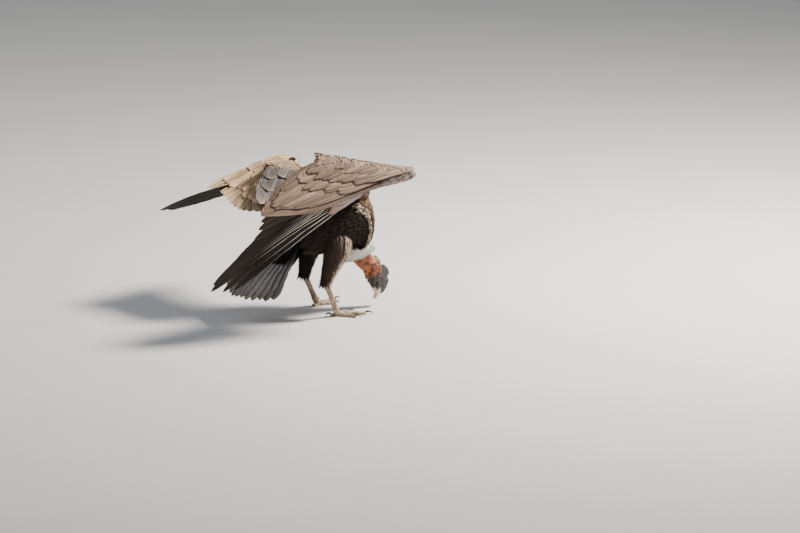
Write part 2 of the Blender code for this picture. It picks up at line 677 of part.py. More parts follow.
# The legs
def block(middle):
    """A cube of one metre to cut with, its middle at that height."""
    bm = bmesh.new()
    bmesh.ops.create_cube(bm, size=1.0)
    bmesh.ops.translate(bm, verts=bm.verts, vec=(0.0, 0.0, middle))
    return object_of(bm, "block", "leg")


def leg(side):
    knee, heel, sole = Vector(KNEE[side]), Vector(HEEL[side]), Vector(SOLE[side])
    hip = knee + Vector((0.010, 0.0, 0.050))
    thigh = [
        (*hip, 0.046, 0.054, 0.050),
        (*knee, 0.043, 0.050, 0.046),
        (*knee.lerp(heel, 0.35), 0.036, 0.040, 0.036),
        (*knee.lerp(heel, 0.70), 0.026, 0.028, 0.028),
        (*knee.lerp(heel, 1.04), 0.019, 0.020, 0.021),
    ]
    name = "thigh_" + side
    locks = []
    for i in range(TROUSER_LOCKS):
        angle = (i + 0.5) / TROUSER_LOCKS * math.tau
        out = Vector((math.cos(angle), math.sin(angle), 0.0))
        top = knee.lerp(heel, 0.62) + out * 0.020
        end = knee.lerp(heel, 1.12) + out * (0.021 + random.uniform(0.0, 0.006))
        locks.append(lock(Feather(top, end, 0.030, out * 0.006, 0.0, 0.8), out, 2))
    finish(tube(name, "body", thigh, 14, 9, blunt=0.08), name, "body", locks)
    ankle = sole + Vector((0.0, 0.0, 0.005))
    shank = [
        (*heel.lerp(ankle, -0.12), 0.0120, 0.0120, 0.0140),
        (*heel, 0.0125, 0.0125, 0.0150),
        (*heel.lerp(ankle, 0.2), 0.0105, 0.0105, 0.0115),
        (*heel.lerp(ankle, 0.6), 0.0100, 0.0100, 0.0105),
        (*ankle, 0.0150, 0.0140, 0.0140),
    ]
    toes = []
    turn = math.radians(FOOT_TURN[side])
    hand = 1.0 if side == "left" else -1.0
    claws = []
    for toe, (angle, long, wide) in TOES.items():
        way_angle = turn - hand * math.radians(angle)
        way = Vector((math.cos(way_angle), math.sin(way_angle), 0.0))
        across = Vector((-way.y, way.x, 0.0))

        def toe_point(t, a, way=way, across=across, long=long, wide=wide):
            slim = 1.0 - 0.35 * t
            knuckle = 1.0 + 0.12 * math.cos(t * math.tau * 3.0)
            end = min(min(t, 1.0 - t) / 0.12, 1.0)
            round_end = math.sqrt(max(0.0, 1.0 - (1.0 - end) ** 2))
            reach = wide * slim * knuckle * round_end
            middle = TOE_HEIGHT * slim * 0.62
            return (sole + way * (long * t - 0.006) + across * (math.cos(a) * reach)
                    + Vector((0.0, 0.0, middle + math.sin(a) * reach * 0.95)))

        toes.append(wrapped("toe", "leg", 8, 8, toe_point))
        nail = CLAW[toe]
        start = sole + way * (long - 0.010) + Vector((0, 0, 0.0095))
        rows = [
            (*start, 0.0040, 0.0042, 0.0042),
            (*(start + way * nail * 0.45 + Vector((0, 0, 0.0020))), 0.0034, 0.0036, 0.0034),
            (*(start + way * nail * 0.85 + Vector((0, 0, -0.0022))), 0.0020, 0.0020, 0.0020),
            (*(start + way * nail * 1.02 + Vector((0, 0, -0.0072))), 0.0007, 0.0007, 0.0007),
        ]
        claws.append(("claw_" + toe + "_" + side, rows))
    foot = tube("leg", "leg", shank, 10, 7)
    with_modifier(foot, toes, "UNION")
    upper = foot.copy()
    upper.data = foot.data.copy()
    bpy.context.scene.collection.objects.link(upper)
    with_modifier(upper, [block(ANKLE - 0.5)], "DIFFERENCE")
    with_modifier(foot, [block(-0.5)], "DIFFERENCE")
    with_modifier(foot, [block(ANKLE - GAP + 0.5)], "DIFFERENCE")
    finish(upper, "shank_" + side, "leg")
    finish(foot, "foot_" + side, "leg")
    for label, rows in claws:
        finish(tube(label, "claw", rows, 6, 5), label, "claw")


for side in ("right", "left"):
    leg(side)

# The whole bird is moved so that the middle of its outline stands over the origin
lows = [box_of(node)[0] for node in NODES]
highs = [box_of(node)[1] for node in NODES]
shift = Vector([-0.5 * (min(l[k] for l in lows) + max(h[k] for h in highs)) for k in range(2)] + [0.0])
for node in NODES:
    for vert in node.data.vertices:
        vert.co += shift
print("moved by", [round(value, 4) for value in shift], sum(len(node.data.polygons) for node in NODES))
for node in NODES:
    print(node.name, len(node.data.polygons), [round(v, 3) for v in (*box_of(node)[0], *box_of(node)[1])])
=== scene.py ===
# %% [markdown]
# # A standing andean condor, from plain solids to plumage
# The solids already hold the pose: a male bird that leans forward with its head low and both
# wings half folded. This lesson dresses them. Bare skin is melted from simple forms and wrinkled,
# and every feather is a thin closed leaf that is bent over the form below it. All sizes are in
# metres.

# %% Load the solids
import math
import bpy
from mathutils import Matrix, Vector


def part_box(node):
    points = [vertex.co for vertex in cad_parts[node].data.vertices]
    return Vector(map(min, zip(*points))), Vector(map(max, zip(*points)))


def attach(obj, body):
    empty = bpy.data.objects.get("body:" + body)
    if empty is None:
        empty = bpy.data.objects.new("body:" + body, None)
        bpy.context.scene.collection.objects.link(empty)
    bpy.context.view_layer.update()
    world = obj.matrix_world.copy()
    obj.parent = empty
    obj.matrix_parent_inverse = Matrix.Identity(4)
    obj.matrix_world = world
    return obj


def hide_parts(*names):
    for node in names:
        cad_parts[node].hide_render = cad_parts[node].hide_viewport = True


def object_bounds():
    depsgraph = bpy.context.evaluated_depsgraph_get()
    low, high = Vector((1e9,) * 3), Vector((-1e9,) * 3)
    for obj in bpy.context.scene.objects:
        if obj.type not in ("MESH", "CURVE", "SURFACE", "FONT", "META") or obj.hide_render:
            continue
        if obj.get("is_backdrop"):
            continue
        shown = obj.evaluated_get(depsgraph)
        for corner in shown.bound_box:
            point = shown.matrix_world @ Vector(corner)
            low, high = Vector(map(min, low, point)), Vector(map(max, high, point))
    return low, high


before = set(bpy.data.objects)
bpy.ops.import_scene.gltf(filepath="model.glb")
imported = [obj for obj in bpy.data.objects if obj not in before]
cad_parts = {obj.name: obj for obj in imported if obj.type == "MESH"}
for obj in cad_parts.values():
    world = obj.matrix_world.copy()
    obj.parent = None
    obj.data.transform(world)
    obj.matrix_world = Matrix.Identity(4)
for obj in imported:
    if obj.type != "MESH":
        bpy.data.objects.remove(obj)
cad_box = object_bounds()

from types import SimpleNamespace

import bmesh
import bpy
import numpy as np
from mathutils import Vector, noise

print(len(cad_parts), "solids, box", [round(c, 3) for corner in cad_box for c in corner])

# %% [markdown]
# ## Working on many points at once
# A coat has thousands of feathers, so places are kept in arrays, and each helper here takes
# one point or a whole block of them. A smooth curve through a few chosen points stands behind
# the trunk, the limbs, the rows of quills and the rows of tips.

# %% Helpers for arrays of places
rng = np.random.default_rng(11)


def unit(v):
    return v / np.maximum(np.linalg.norm(v, axis=-1, keepdims=True), 1e-9)


def blend(a, b, t):
    return a + (b - a) * t


def ease(x):
    """0 below 0, 1 above 1 and a smooth rise between."""
    x = np.clip(x, 0.0, 1.0)
    return x * x * (3.0 - 2.0 * x)


def through(a, b, c, d, u):
    """The place a share u of the way from b to c, on a smooth curve that also heeds a and d."""
    bend = (2 * a - 5 * b + 4 * c - d) * u * u + (3 * b - 3 * c + d - a) * u ** 3
    return 0.5 * (2 * b + (c - a) * u + bend)


def curve(points, t):
    """Places at t, from 0 to 1, on a smooth curve through the points."""
    points = np.asarray(points, float)
    spans = len(points) - 1
    place = np.clip(np.asarray(t, float), 0.0, 1.0) * spans
    i = np.minimum(place.astype(int), spans - 1)
    before, after = points[np.maximum(i - 1, 0)], points[np.minimum(i + 2, spans)]
    return through(before, points[i], points[i + 1], after, (place - i)[..., None])


def jitter(n, amount):
    """n random steps of up to amount either way, or 0 without a draw where amount is 0."""
    return rng.uniform(-amount, amount, n) if amount else 0.0


def from_end(along, reach):
    """0 at either end of a tube, and 1 from reach inwards."""
    return np.minimum(np.minimum(along, 1.0 - along) / reach, 1.0)


def rounded(end):
    """How wide a tube with round ends still is, by from_end."""
    return np.sqrt(np.maximum(0.0, 1.0 - (1.0 - end) ** 2))


print("smooth curve, halfway:", curve([(0, 0, 0), (1, 0, 1), (2, 0, 0)], 0.5))

# %% [markdown]
# ## The pose
# All places below are measured as on the bird itself: +X is where it faces, +Y its left, +Z up,
# with the right sole near the origin. The solids were moved so that their outline is centred, and
# the eye tells by how much, so every mesh is moved by the same step when it is made.

# %% Head, eyes and the step to the frame
HEAD_AT = np.array((0.190, -0.050, 0.125))
HEAD_TO_BILL = unit(np.array((0.12, 0.0, -0.993)))
HEAD_TO_LEFT = np.array((0.0, 1.0, 0.0))
HEAD_TO_CROWN = unit(np.cross(HEAD_TO_BILL, HEAD_TO_LEFT))
EYE_RADIUS, EYE_FORWARD, EYE_UP, EYE_OUT = 0.0085, 0.004, 0.010, 0.0195


def on_head(forward, up, left=0.0):
    """A place on the head, by how far it lies towards the bill, the crown and the left."""
    forward, up, left = (np.asarray(v, float)[..., None] for v in (forward, up, left))
    return HEAD_AT + HEAD_TO_BILL * forward + HEAD_TO_CROWN * up + HEAD_TO_LEFT * left


def from_head(places):
    """The other way round: how far places lie towards the bill, the crown and the left."""
    offset = places - HEAD_AT
    return offset @ HEAD_TO_BILL, offset @ HEAD_TO_CROWN, offset @ HEAD_TO_LEFT


eye_low, eye_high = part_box("eye_right")
STEP = np.array((eye_low + eye_high) / 2.0) - on_head(EYE_FORWARD, EYE_UP, -EYE_OUT)
print("step from the bird's own places to the frame:", STEP.round(4))

# %% [markdown]
# The trunk and the neck are tubes through a few stations, each with its own width and depth. The
# legs need only their joints, and each foot the turn that it has on the ground.

# %% Trunk, neck and legs
TORSO = (   # upper or front edge x, z; lower or back edge x, z; half width; y
    (-0.164, 0.286, -0.133, 0.236, 0.040, 0.000),
    (-0.126, 0.366, -0.062, 0.226, 0.088, 0.000),
    (-0.058, 0.450, 0.014, 0.226, 0.122, 0.000),
    (0.048, 0.492, 0.062, 0.222, 0.134, 0.000),
    (0.140, 0.454, 0.080, 0.214, 0.122, -0.004),
    (0.178, 0.376, 0.086, 0.207, 0.100, -0.010),
    (0.182, 0.306, 0.086, 0.202, 0.076, -0.014),
    (0.166, 0.250, 0.086, 0.200, 0.050, -0.018),
)
NECK = (    # x, y, z, half width, reach to the nape, reach to the throat
    (0.122, -0.018, 0.250, 0.046, 0.040, 0.044),
    (0.133, -0.028, 0.212, 0.037, 0.035, 0.038),
    (0.156, -0.041, 0.180, 0.033, 0.032, 0.036),
    (0.178, -0.049, 0.154, 0.031, 0.030, 0.034),
)
NECK_FROM, NECK_TO = np.array(NECK[0][:3]), np.array(NECK[3][:3])
KNEE = {"right": (-0.008, -0.098, 0.262), "left": (0.014, 0.094, 0.262)}
HEEL = {"right": (-0.060, -0.100, 0.134), "left": (-0.028, 0.082, 0.130)}
SOLE = {"right": (0.000, -0.090, 0.000), "left": (0.036, 0.090, 0.000)}
FOOT_TURN = {"right": -22.0, "left": 16.0}
TOE_HEIGHT = 0.012
TOES = {    # angle from the foot's own direction, length, half width, length of the claw
    "middle": (0.0, 0.112, 0.0105, 0.030),
    "inner": (34.0, 0.070, 0.0095, 0.026),
    "outer": (-36.0, 0.078, 0.0090, 0.024),
    "hind": (168.0, 0.036, 0.0080, 0.020),
}
SIDES = ("right", "left")
NEAR = "right"      # the side that the camera sees
print("the back is", max(row[1] for row in TORSO), "m above the ground")

# %% [markdown]
# A wing has a shoulder, an elbow, a wrist and the hand's end. Its long feathers spread like fans,
# and a fan is told by a curve through its tips. The tips come in the order in which the quills
# leave the bones: secondaries from wrist to elbow, scapulars from shoulder to elbow, and
# primaries from the wrist to the hand's end.

# %% Wings and tail
SHOULDER = {"right": (0.105, -0.085, 0.440), "left": (0.105, 0.085, 0.440)}
ELBOW = {"right": (-0.141, -0.160, 0.605), "left": (-0.080, 0.240, 0.498)}
WRIST = {"right": (0.150, -0.322, 0.553), "left": (0.165, 0.430, 0.458)}
HAND_END = {"right": (0.004, -0.298, 0.520), "left": (0.005, 0.388, 0.428)}
SECONDARY_TIPS = {
    "right": ((-0.300, -0.225, 0.425), (-0.365, -0.235, 0.452), (-0.405, -0.230, 0.462),
              (-0.420, -0.205, 0.452), (-0.335, -0.160, 0.480)),
    "left": ((-0.257, 0.375, 0.446), (-0.240, 0.310, 0.424), (-0.252, 0.225, 0.374),
             (-0.250, 0.145, 0.364), (-0.215, 0.085, 0.366)),
}
SCAPULAR_TIPS = {
    "right": ((-0.110, -0.035, 0.452), (-0.200, -0.080, 0.462), (-0.290, -0.130, 0.478)),
    "left": ((-0.110, 0.035, 0.448), (-0.160, 0.060, 0.430), (-0.200, 0.100, 0.405)),
}
PRIMARY_TIPS = {
    "right": ((-0.391, -0.170, 0.410), (-0.405, -0.140, 0.326), (-0.472, -0.090, 0.236),
              (-0.527, -0.030, 0.158), (-0.430, -0.060, 0.142)),
    "left": ((-0.300, 0.330, 0.392), (-0.400, 0.305, 0.388), (-0.490, 0.266, 0.394),
             (-0.560, 0.222, 0.404), (-0.500, 0.262, 0.410)),
}
PRIMARY_RISE = {"right": (0.028, 0.036), "left": (0.020, 0.000)}   # least arch, and more in the middle
WING_UP = {     # which way the forearm's fan faces, at the wrist and at the elbow
    "right": ((-0.38, -0.78, 0.50), (-0.34, -0.72, 0.60)),
    "left": ((0.05, -0.30, 0.95), (-0.30, -0.38, 0.87)),
}
HAND_UP = {     # which way the hand faces, and which way its fan does
    "right": ((-0.40, -0.84, 0.36), (-0.50, -0.84, 0.20)),
    "left": ((0.0, -0.20, 0.98), (-0.05, -0.15, 0.98)),
}
TAIL_AT = np.array((-0.146, 0.0, 0.274))
TAIL_PITCH, TAIL_SPREAD, TAIL_LENGTH, TAIL_FEATHERS = 38.0, 29.0, 0.290, 12
print("forearm", round(math.dist(ELBOW["right"], WRIST["right"]), 3), "m from elbow to wrist")

# %% [markdown]
# ## Light, floor and camera
# The bird stands on a plain pale floor. The camera is far away behind its right shoulder with a
# long lens, a little above the floor, so that the near wing overlaps the far one. The main light
# is high in front, which leaves the near side dark and the upper sides of the wings bright.

# %% Camera and lights
AZIMUTH, ELEVATION = math.radians(-36.0), math.radians(13.0)
LENS, SENSOR, DISTANCE = 300.0, 36.0, 24.24
PIXELS_PER_METRE = 275.0
FRAME_MIDDLE = (62.0, 49.5)       # pixels from the near sole to the picture's middle: right, up
to_camera = Vector((math.sin(AZIMUTH) * math.cos(ELEVATION), -math.cos(AZIMUTH) * math.cos(ELEVATION),
                    math.sin(ELEVATION)))
to_right = Vector((math.cos(AZIMUTH), math.sin(AZIMUTH), 0.0))
to_top = to_camera.cross(to_right)
sole_place = Vector(np.array(SOLE["right"]) + STEP)
aim = sole_place + to_right * (FRAME_MIDDLE[0] / PIXELS_PER_METRE)
aim += to_top * (FRAME_MIDDLE[1] / PIXELS_PER_METRE)

scene = bpy.context.scene
camera = bpy.data.objects.new("camera", bpy.data.cameras.new("camera"))
scene.collection.objects.link(camera)
camera.data.lens, camera.data.sensor_width = LENS, SENSOR
camera.data.clip_end = 100.0
camera.location = aim + to_camera * DISTANCE
camera.rotation_euler = to_camera.to_track_quat("Z", "Y").to_euler()
scene.camera = camera


def lamp(name, direction, distance, size, power, colour):
    data = bpy.data.lights.new(name, "AREA")
    data.size, data.energy, data.color = size, power, colour
    made = bpy.data.objects.new(name, data)
    way = Vector(direction).normalized()
    made.location = sole_place + Vector((0.0, 0.0, 0.35)) + way * distance
    made.rotation_euler = way.to_track_quat("Z", "Y").to_euler()
    scene.collection.objects.link(made)


SKY, SKY_STRENGTH = (0.80, 0.84, 0.90, 1.0), 0.28
# name, where it stands, how far, size, power, colour
lamp("key", (0.72, -0.26, 0.78), 4.0, 0.9, 560.0, (1.0, 0.94, 0.85))
lamp("fill", (-0.60, -0.90, 0.55), 5.0, 3.5, 15.0, (0.90, 0.95, 1.0))
lamp("back", (-0.5, 0.9, 0.8), 5.0, 3.0, 60.0, (0.95, 0.97, 1.0))
world = bpy.data.worlds.new("world")
scene.world = world
world.use_nodes = True
sky = world.node_tree.nodes["Background"].inputs
sky["Color"].default_value, sky["Strength"].default_value = SKY, SKY_STRENGTH
print("camera at", [round(v, 2) for v in camera.location])

# %% [markdown]
# ## Shader maths
# A pattern is easier to read as an expression than as a web of wires. The class below wraps one
# socket, and adding or multiplying two of them adds the Math node. Colours go through Mix nodes.

# %% Sockets as numbers
class Number:
    """One value of a shader, with which plain arithmetic can be done."""

    def __init__(self, finish, socket):
        self.finish, self.socket = finish, socket

    def maths(self, operation, first, second=None):
        node = self.finish.node("ShaderNodeMath", {"operation": operation}, {0: first, 1: second})
        return Number(self.finish, node.outputs[0])

    def __add__(self, other):
        return self.maths("ADD", self, other)

    def __sub__(self, other):
        return self.maths("SUBTRACT", self, other)

    def __rsub__(self, other):
        return self.maths("SUBTRACT", other, self)

    def __mul__(self, other):
        return self.maths("MULTIPLY", self, other)

    def size(self):
        return self.maths("ABSOLUTE", self)

    def wave(self):
        return self.maths("SINE", self)

    def rise(self, low, high):
        """0 below low, 1 above high and smooth between. It falls where low is above high."""
        node = self.finish.node("ShaderNodeMapRange", {"interpolation_type": "SMOOTHSTEP"},
                                {"Value": self, "From Min": low, "From Max": high})
        return Number(self.finish, node.outputs["Result"])

    __radd__, __rmul__ = __add__, __mul__


print("numbers can be added, multiplied and smoothed")

# %% [markdown]
# A finish is one material while it is being made. Nodes of any kind come from one method, and a
# short method stands for each pattern that is used often. At the end, paint wires the colour, the
# roughness and a height, which becomes bump.

# %% A finish
class Finish:
    """A material under work: a Principled shader and the nodes that feed it."""

    def __init__(self, name, roughness=0.6, **constants):
        self.material = bpy.data.materials.new(name)
        self.material.use_nodes = True
        self.tree = self.material.node_tree
        self.shader = self.tree.nodes["Principled BSDF"]
        self.shader.inputs["Roughness"].default_value = roughness
        for socket, value in constants.items():
            self.shader.inputs[socket.replace("_", " ")].default_value = value

    def node(self, kind, settings=None, inputs=None):
        node = self.tree.nodes.new(kind)
        for name, value in (settings or {}).items():
            setattr(node, name, value)
        for name, value in (inputs or {}).items():
            if isinstance(value, Number):
                self.tree.links.new(value.socket, node.inputs[name])
            elif isinstance(value, bpy.types.NodeSocket):
                self.tree.links.new(value, node.inputs[name])
            elif value is not None:
                node.inputs[name].default_value = value
        return node

    def places(self, turned=(1.0, 1.0, 1.0)):
        """Object coordinates, stretched where turned differs from 1."""
        socket = self.node("ShaderNodeTexCoord").outputs["Object"]
        node = self.node("ShaderNodeMapping", {}, {"Vector": socket, "Scale": turned})
        return node.outputs["Vector"]

    def attribute(self, name):
        node = self.node("ShaderNodeAttribute", {"attribute_name": name})
        return Number(self, node.outputs["Fac"])

    def noise(self, vector, scale, detail=2.0, roughness=0.5):
        node = self.node("ShaderNodeTexNoise", {}, {"Vector": vector, "Scale": scale,
                                                    "Detail": detail, "Roughness": roughness})
        return Number(self, node.outputs["Fac"])

    def cells(self, vector, scale):
        node = self.node("ShaderNodeTexVoronoi", {}, {"Vector": vector, "Scale": scale})
        return Number(self, node.outputs["Distance"])

    def mix(self, factor, first, second):
        """The first colour where factor is 0, the second where it is 1."""
        sides = {6: first, 7: second}
        for key, side in sides.items():
            if isinstance(side, tuple):
                sides[key] = (*side, 1.0)
        node = self.node("ShaderNodeMix", {"data_type": "RGBA"}, {0: factor, **sides})
        return node.outputs[2]

    def shade(self, colour, factor):
        """The colour made darker or lighter by a number."""
        node = self.node("ShaderNodeVectorMath", {"operation": "SCALE"}, {0: colour, "Scale": factor})
        return node.outputs[0]

    def paint(self, colour, roughness=None, height=None, depth=0.001, strength=0.5):
        self.tree.links.new(colour, self.shader.inputs["Base Color"])
        if roughness is not None:
            self.tree.links.new(roughness.socket, self.shader.inputs["Roughness"])
        if height is not None:
            bump = self.node("ShaderNodeBump", {}, {"Height": height, "Distance": depth,
                                                    "Strength": strength})
            self.tree.links.new(bump.outputs[0], self.shader.inputs["Normal"])
        return self.material


print("finishes can be painted")

# %% [markdown]
# ## The floor
# A wide pale sheet, barely mottled, so that the feet throw a soft shadow on something plain.

# %% Floor
floor_finish = Finish("floor", roughness=0.85)
mottle = floor_finish.noise(floor_finish.places(), 1.5)
floor_paint = floor_finish.paint(floor_finish.mix(mottle, (0.62, 0.63, 0.63), (0.70, 0.70, 0.69)))
bm = bmesh.new()
bmesh.ops.create_grid(bm, x_segments=2, y_segments=2, size=40.0)
mesh = bpy.data.meshes.new("floor")
bm.to_mesh(mesh)
bm.free()
floor = bpy.data.objects.new("floor", mesh)
mesh.materials.append(floor_paint)
scene.collection.objects.link(floor)
floor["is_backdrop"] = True
print("floor laid")

# %% [markdown]
# ## Finishes for feathers
# A feather is two combs of barbs on a shaft. Each leaf carries its own map: across from rim to
# rim and along from root to tip. From it come the fine slanted barbs, the line of the shaft and
# the rim, which the sun bleaches first; on the near wing the rim is a dark line of painted shade
# between neighbours instead. A number called tone differs from feather to feather, and one called
# worn tells how bleached the place is on the bird. Down the breast, worn lays a painted highlight,
# and on the primaries it picks the rim that carries one.

# %% One finish for every kind of feather
def feather_finish(name, dark, light, rim, shaft, barbs=60.0, rim_from=0.80, rim_share=0.6,
                   tip=None, tip_from=0.80, worn=None, streak=0.5, roughness=0.62, slant=9.0,
                   shaft_wide=0.07, under=None, gloss=0.25, sunlit_rim=None, varied=0.56,
                   grain=(1.6, 2.6)):
    """dark and light: the vane's two colours. rim, shaft, tip, worn: colours laid over them.
    under: the colour of the leaf's lower side, where it differs. sunlit_rim: a painted highlight, a
    pale sunlit line along the outer rim alone on the side that worn tells as 0 or 1, which fades out
    as painted shade towards the tip. varied: how much whole feathers differ in brightness. grain:
    how fine the broad blotches are, across and along."""
    finish = Finish(name, roughness, Specular_IOR_Level=gloss)
    vane_map = finish.node("ShaderNodeUVMap", {"uv_map": "Vane"}).outputs[0]
    parts = finish.node("ShaderNodeSeparateXYZ", {}, {0: vane_map}).outputs
    across, along = Number(finish, parts[0]), Number(finish, parts[1])
    tone = finish.attribute("tone")
    side = (across * 2.0 - 1.0).size()
    lean = along * barbs - side * slant
    spot = finish.node("ShaderNodeCombineXYZ", {}, {0: side * 1.3, 1: lean * 0.55, 2: tone * 40.0})
    fine = finish.noise(spot.outputs[0], 1.0, 3.0, 0.6)
    spot = finish.node("ShaderNodeCombineXYZ", {},
                       {0: across * grain[0], 1: along * grain[1], 2: tone * 25.0})
    broad = finish.noise(spot.outputs[0], 1.4, 2.0)
    streaks = fine.rise(0.36, 0.66) * streak + broad.rise(0.35, 0.70) * (1.0 - streak)
    colour = finish.mix(streaks, dark, light)
    if worn is not None:
        share = finish.attribute("worn") * (0.55 + fine * 0.8)
        colour = finish.mix(share.rise(0.15, 0.85), colour, worn)
    if tip is not None:
        colour = finish.mix((along + broad * 0.16).rise(tip_from, 1.08), colour, tip)
    edge = (side + (fine - 0.5) * 0.25 + along.rise(0.93, 1.0) * 0.3).rise(rim_from, 1.02)
    colour = finish.mix(edge * rim_share, colour, rim)
    colour = finish.mix(side.rise(shaft_wide, shaft_wide * 0.4) * along.rise(1.0, 0.9), colour, shaft)
    # Painted highlight: a pale sunlit line along the outer rim, fading into painted shade towards the tip.
    if sunlit_rim is not None:
        outer = (across * 2.0 - 1.0) * (finish.attribute("worn") * 2.0 - 1.0)
        line = (outer + (broad - 0.5) * 0.12).rise(0.84, 0.92) * along.rise(0.85, 0.45)
        colour = finish.mix(line * 0.9, colour, sunlit_rim)
    colour = finish.shade(colour, 1.0 - varied * 0.5 + tone * varied)
    if under is not None:
        colour = finish.mix(finish.attribute("layer").rise(0.50, 0.44), colour, under)
    height = (lean * math.tau).wave() * 0.12 + fine + side.rise(shaft_wide * 1.5, 0.0) * 1.6
    return finish.paint(colour, None, height, 0.0007, 0.4)


print("one finish function for all feathers")

# %% [markdown]
# Old plumage is seldom black. The sun turns it brown, and the coverts of the wings nearly to
# straw. So each kind of feather has a dark and a light colour for its barbs, and its own rim,
# shaft and tip.

# %% The kinds of feather
BROWN_BLACK = (0.012, 0.009, 0.008)
UNDER_WING = (0.060, 0.050, 0.046)
FEATHERS = {
    "flight": dict(dark=BROWN_BLACK, light=(0.040, 0.031, 0.027), rim=(0.30, 0.26, 0.23),
                   shaft=(0.10, 0.08, 0.07), tip=(0.085, 0.062, 0.050), barbs=110.0, rim_from=0.90,
                   rim_share=0.55, shaft_wide=0.05, gloss=0.10, roughness=0.7),
    # The primaries' pale outer line is a painted highlight, bright near the quill and fading into shade
    # towards the tip.
    "primaries": dict(dark=BROWN_BLACK, light=(0.022, 0.017, 0.015), rim=(0.07, 0.058, 0.050),
                      shaft=(0.10, 0.08, 0.07), tip=(0.050, 0.037, 0.031), barbs=120.0,
                      sunlit_rim=(0.62, 0.57, 0.50), rim_from=0.93, rim_share=0.5, shaft_wide=0.05,
                      gloss=0.08, roughness=0.72),
    "body": dict(dark=BROWN_BLACK, light=(0.022, 0.016, 0.014), rim=(0.052, 0.036, 0.029),
                 shaft=(0.03, 0.024, 0.02), worn=(0.225, 0.132, 0.082), barbs=40.0, rim_from=0.66,
                 rim_share=0.5, slant=7.0, roughness=0.78, gloss=0.12, varied=0.80),
    # The trousers' worn colour also paints the highlight line down the breast.
    "trousers": dict(dark=(0.026, 0.016, 0.012), light=(0.075, 0.042, 0.028),
                     rim=(0.12, 0.075, 0.055), shaft=(0.03, 0.02, 0.016), worn=(0.50, 0.39, 0.29),
                     barbs=30.0, rim_from=0.66, rim_share=0.5, slant=6.0),
    # Painted shade: on the near wing the dark rim stands for the shadow that each feather throws on its
    # neighbour.
    "near_coverts": dict(dark=(0.125, 0.074, 0.050), light=(0.47, 0.325, 0.235),
                         rim=(0.070, 0.042, 0.030), shaft=(0.58, 0.44, 0.33), tip=(0.21, 0.135, 0.095),
                         worn=(0.30, 0.26, 0.275), under=UNDER_WING, barbs=80.0, rim_share=0.90,
                         tip_from=0.62, shaft_wide=0.05, varied=0.85, streak=0.40, grain=(8.0, 1.3)),
    "far_coverts": dict(dark=(0.25, 0.150, 0.073), light=(0.52, 0.365, 0.205), rim=(0.76, 0.61, 0.40),
                        shaft=(0.16, 0.09, 0.05), tip=(0.60, 0.42, 0.27), worn=(0.27, 0.24, 0.25),
                        under=UNDER_WING, rim_from=0.82, rim_share=0.85, tip_from=0.84, varied=0.62),
    "scapulars": dict(dark=(0.075, 0.060, 0.058), light=(0.19, 0.160, 0.152), rim=(0.40, 0.34, 0.29),
                      shaft=(0.06, 0.048, 0.045), tip=(0.26, 0.20, 0.155), rim_from=0.86,
                      rim_share=0.70, varied=0.80, grain=(3.0, 1.6)),
    "lesser_coverts": dict(dark=(0.21, 0.135, 0.078), light=(0.45, 0.325, 0.20),
                           rim=(0.62, 0.50, 0.34), shaft=(0.13, 0.08, 0.05),
                           worn=(0.085, 0.060, 0.050), barbs=30.0, rim_from=0.70, rim_share=0.7,
                           slant=5.0),
    # Painted light: the tail is black, and its grey vanes stand for the sun falling on it.
    "tail": dict(dark=(0.20, 0.18, 0.175), light=(0.40, 0.375, 0.36), rim=(0.07, 0.06, 0.055),
                 shaft=(0.62, 0.58, 0.54), tip=(0.26, 0.21, 0.18), barbs=90.0, rim_from=0.86,
                 rim_share=0.85),
    "down": dict(dark=(0.80, 0.77, 0.71), light=(0.93, 0.92, 0.88), rim=(0.95, 0.94, 0.92),
                 shaft=(0.85, 0.83, 0.78), barbs=12.0, rim_from=0.75, rim_share=0.6, roughness=0.9,
                 slant=3.0, varied=0.14),
}
PAINT = {name: feather_finish(name, **look) for name, look in FEATHERS.items()}
print("feather finishes:", ", ".join(PAINT))

# %% [markdown]
# ## One leaf, many feathers
# The pattern for every feather is a thin closed leaf made with mesh operators: a grid, a copy of
# it turned over, and the rims of both merged. Each feather then bends this pattern along its own
# shaft. All feathers of one tract become one mesh, so the bird stays light enough to handle.

# %% The leaf
def leaf(cols, rows):
    """Places of a leaf (across -1 to 1, along 0 to 1, layer -1 to 1) and its four-sided faces."""
    bm = bmesh.new()
    bmesh.ops.create_grid(bm, x_segments=cols, y_segments=rows, size=0.5)
    copy = bmesh.ops.duplicate(bm, geom=bm.verts[:] + bm.edges[:] + bm.faces[:])["geom"]
    lower = set(part for part in copy if isinstance(part, bmesh.types.BMVert))
    bmesh.ops.reverse_faces(bm, faces=[part for part in copy if isinstance(part, bmesh.types.BMFace)])
    for vert in bm.verts:
        layer = 0.0 if vert.is_boundary else (-1.0 if vert in lower else 1.0)
        vert.co = (vert.co.x * 2.0, vert.co.y + 0.5, layer)
    bmesh.ops.remove_doubles(bm, verts=bm.verts, dist=0.0001)
    bm.verts.index_update()
    places = np.array([vert.co[:] for vert in bm.verts])
    faces = np.array([[vert.index for vert in face.verts] for face in bm.faces])
    bm.free()
    return places, faces


print("a leaf of 4 by 6:", len(leaf(4, 6)[1]), "faces")

# %% [markdown]
# Arrays of places and faces become a mesh here. Each finished piece gets its object, its finish
# and its name, and takes the place of the solids that it covers.

# %% From arrays to a piece
def settle(mesh, name, slot, material, *nodes):
    """Give a mesh its object, its finish and its place on the bird."""
    mesh.name = name
    mesh.materials.clear()
    mesh.materials.append(material)
    made = bpy.data.objects.new(name, mesh)
    scene.collection.objects.link(made)
    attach(made, "root")
    if nodes:
        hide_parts(*nodes)
    print(name, len(mesh.polygons), "faces")
    return made


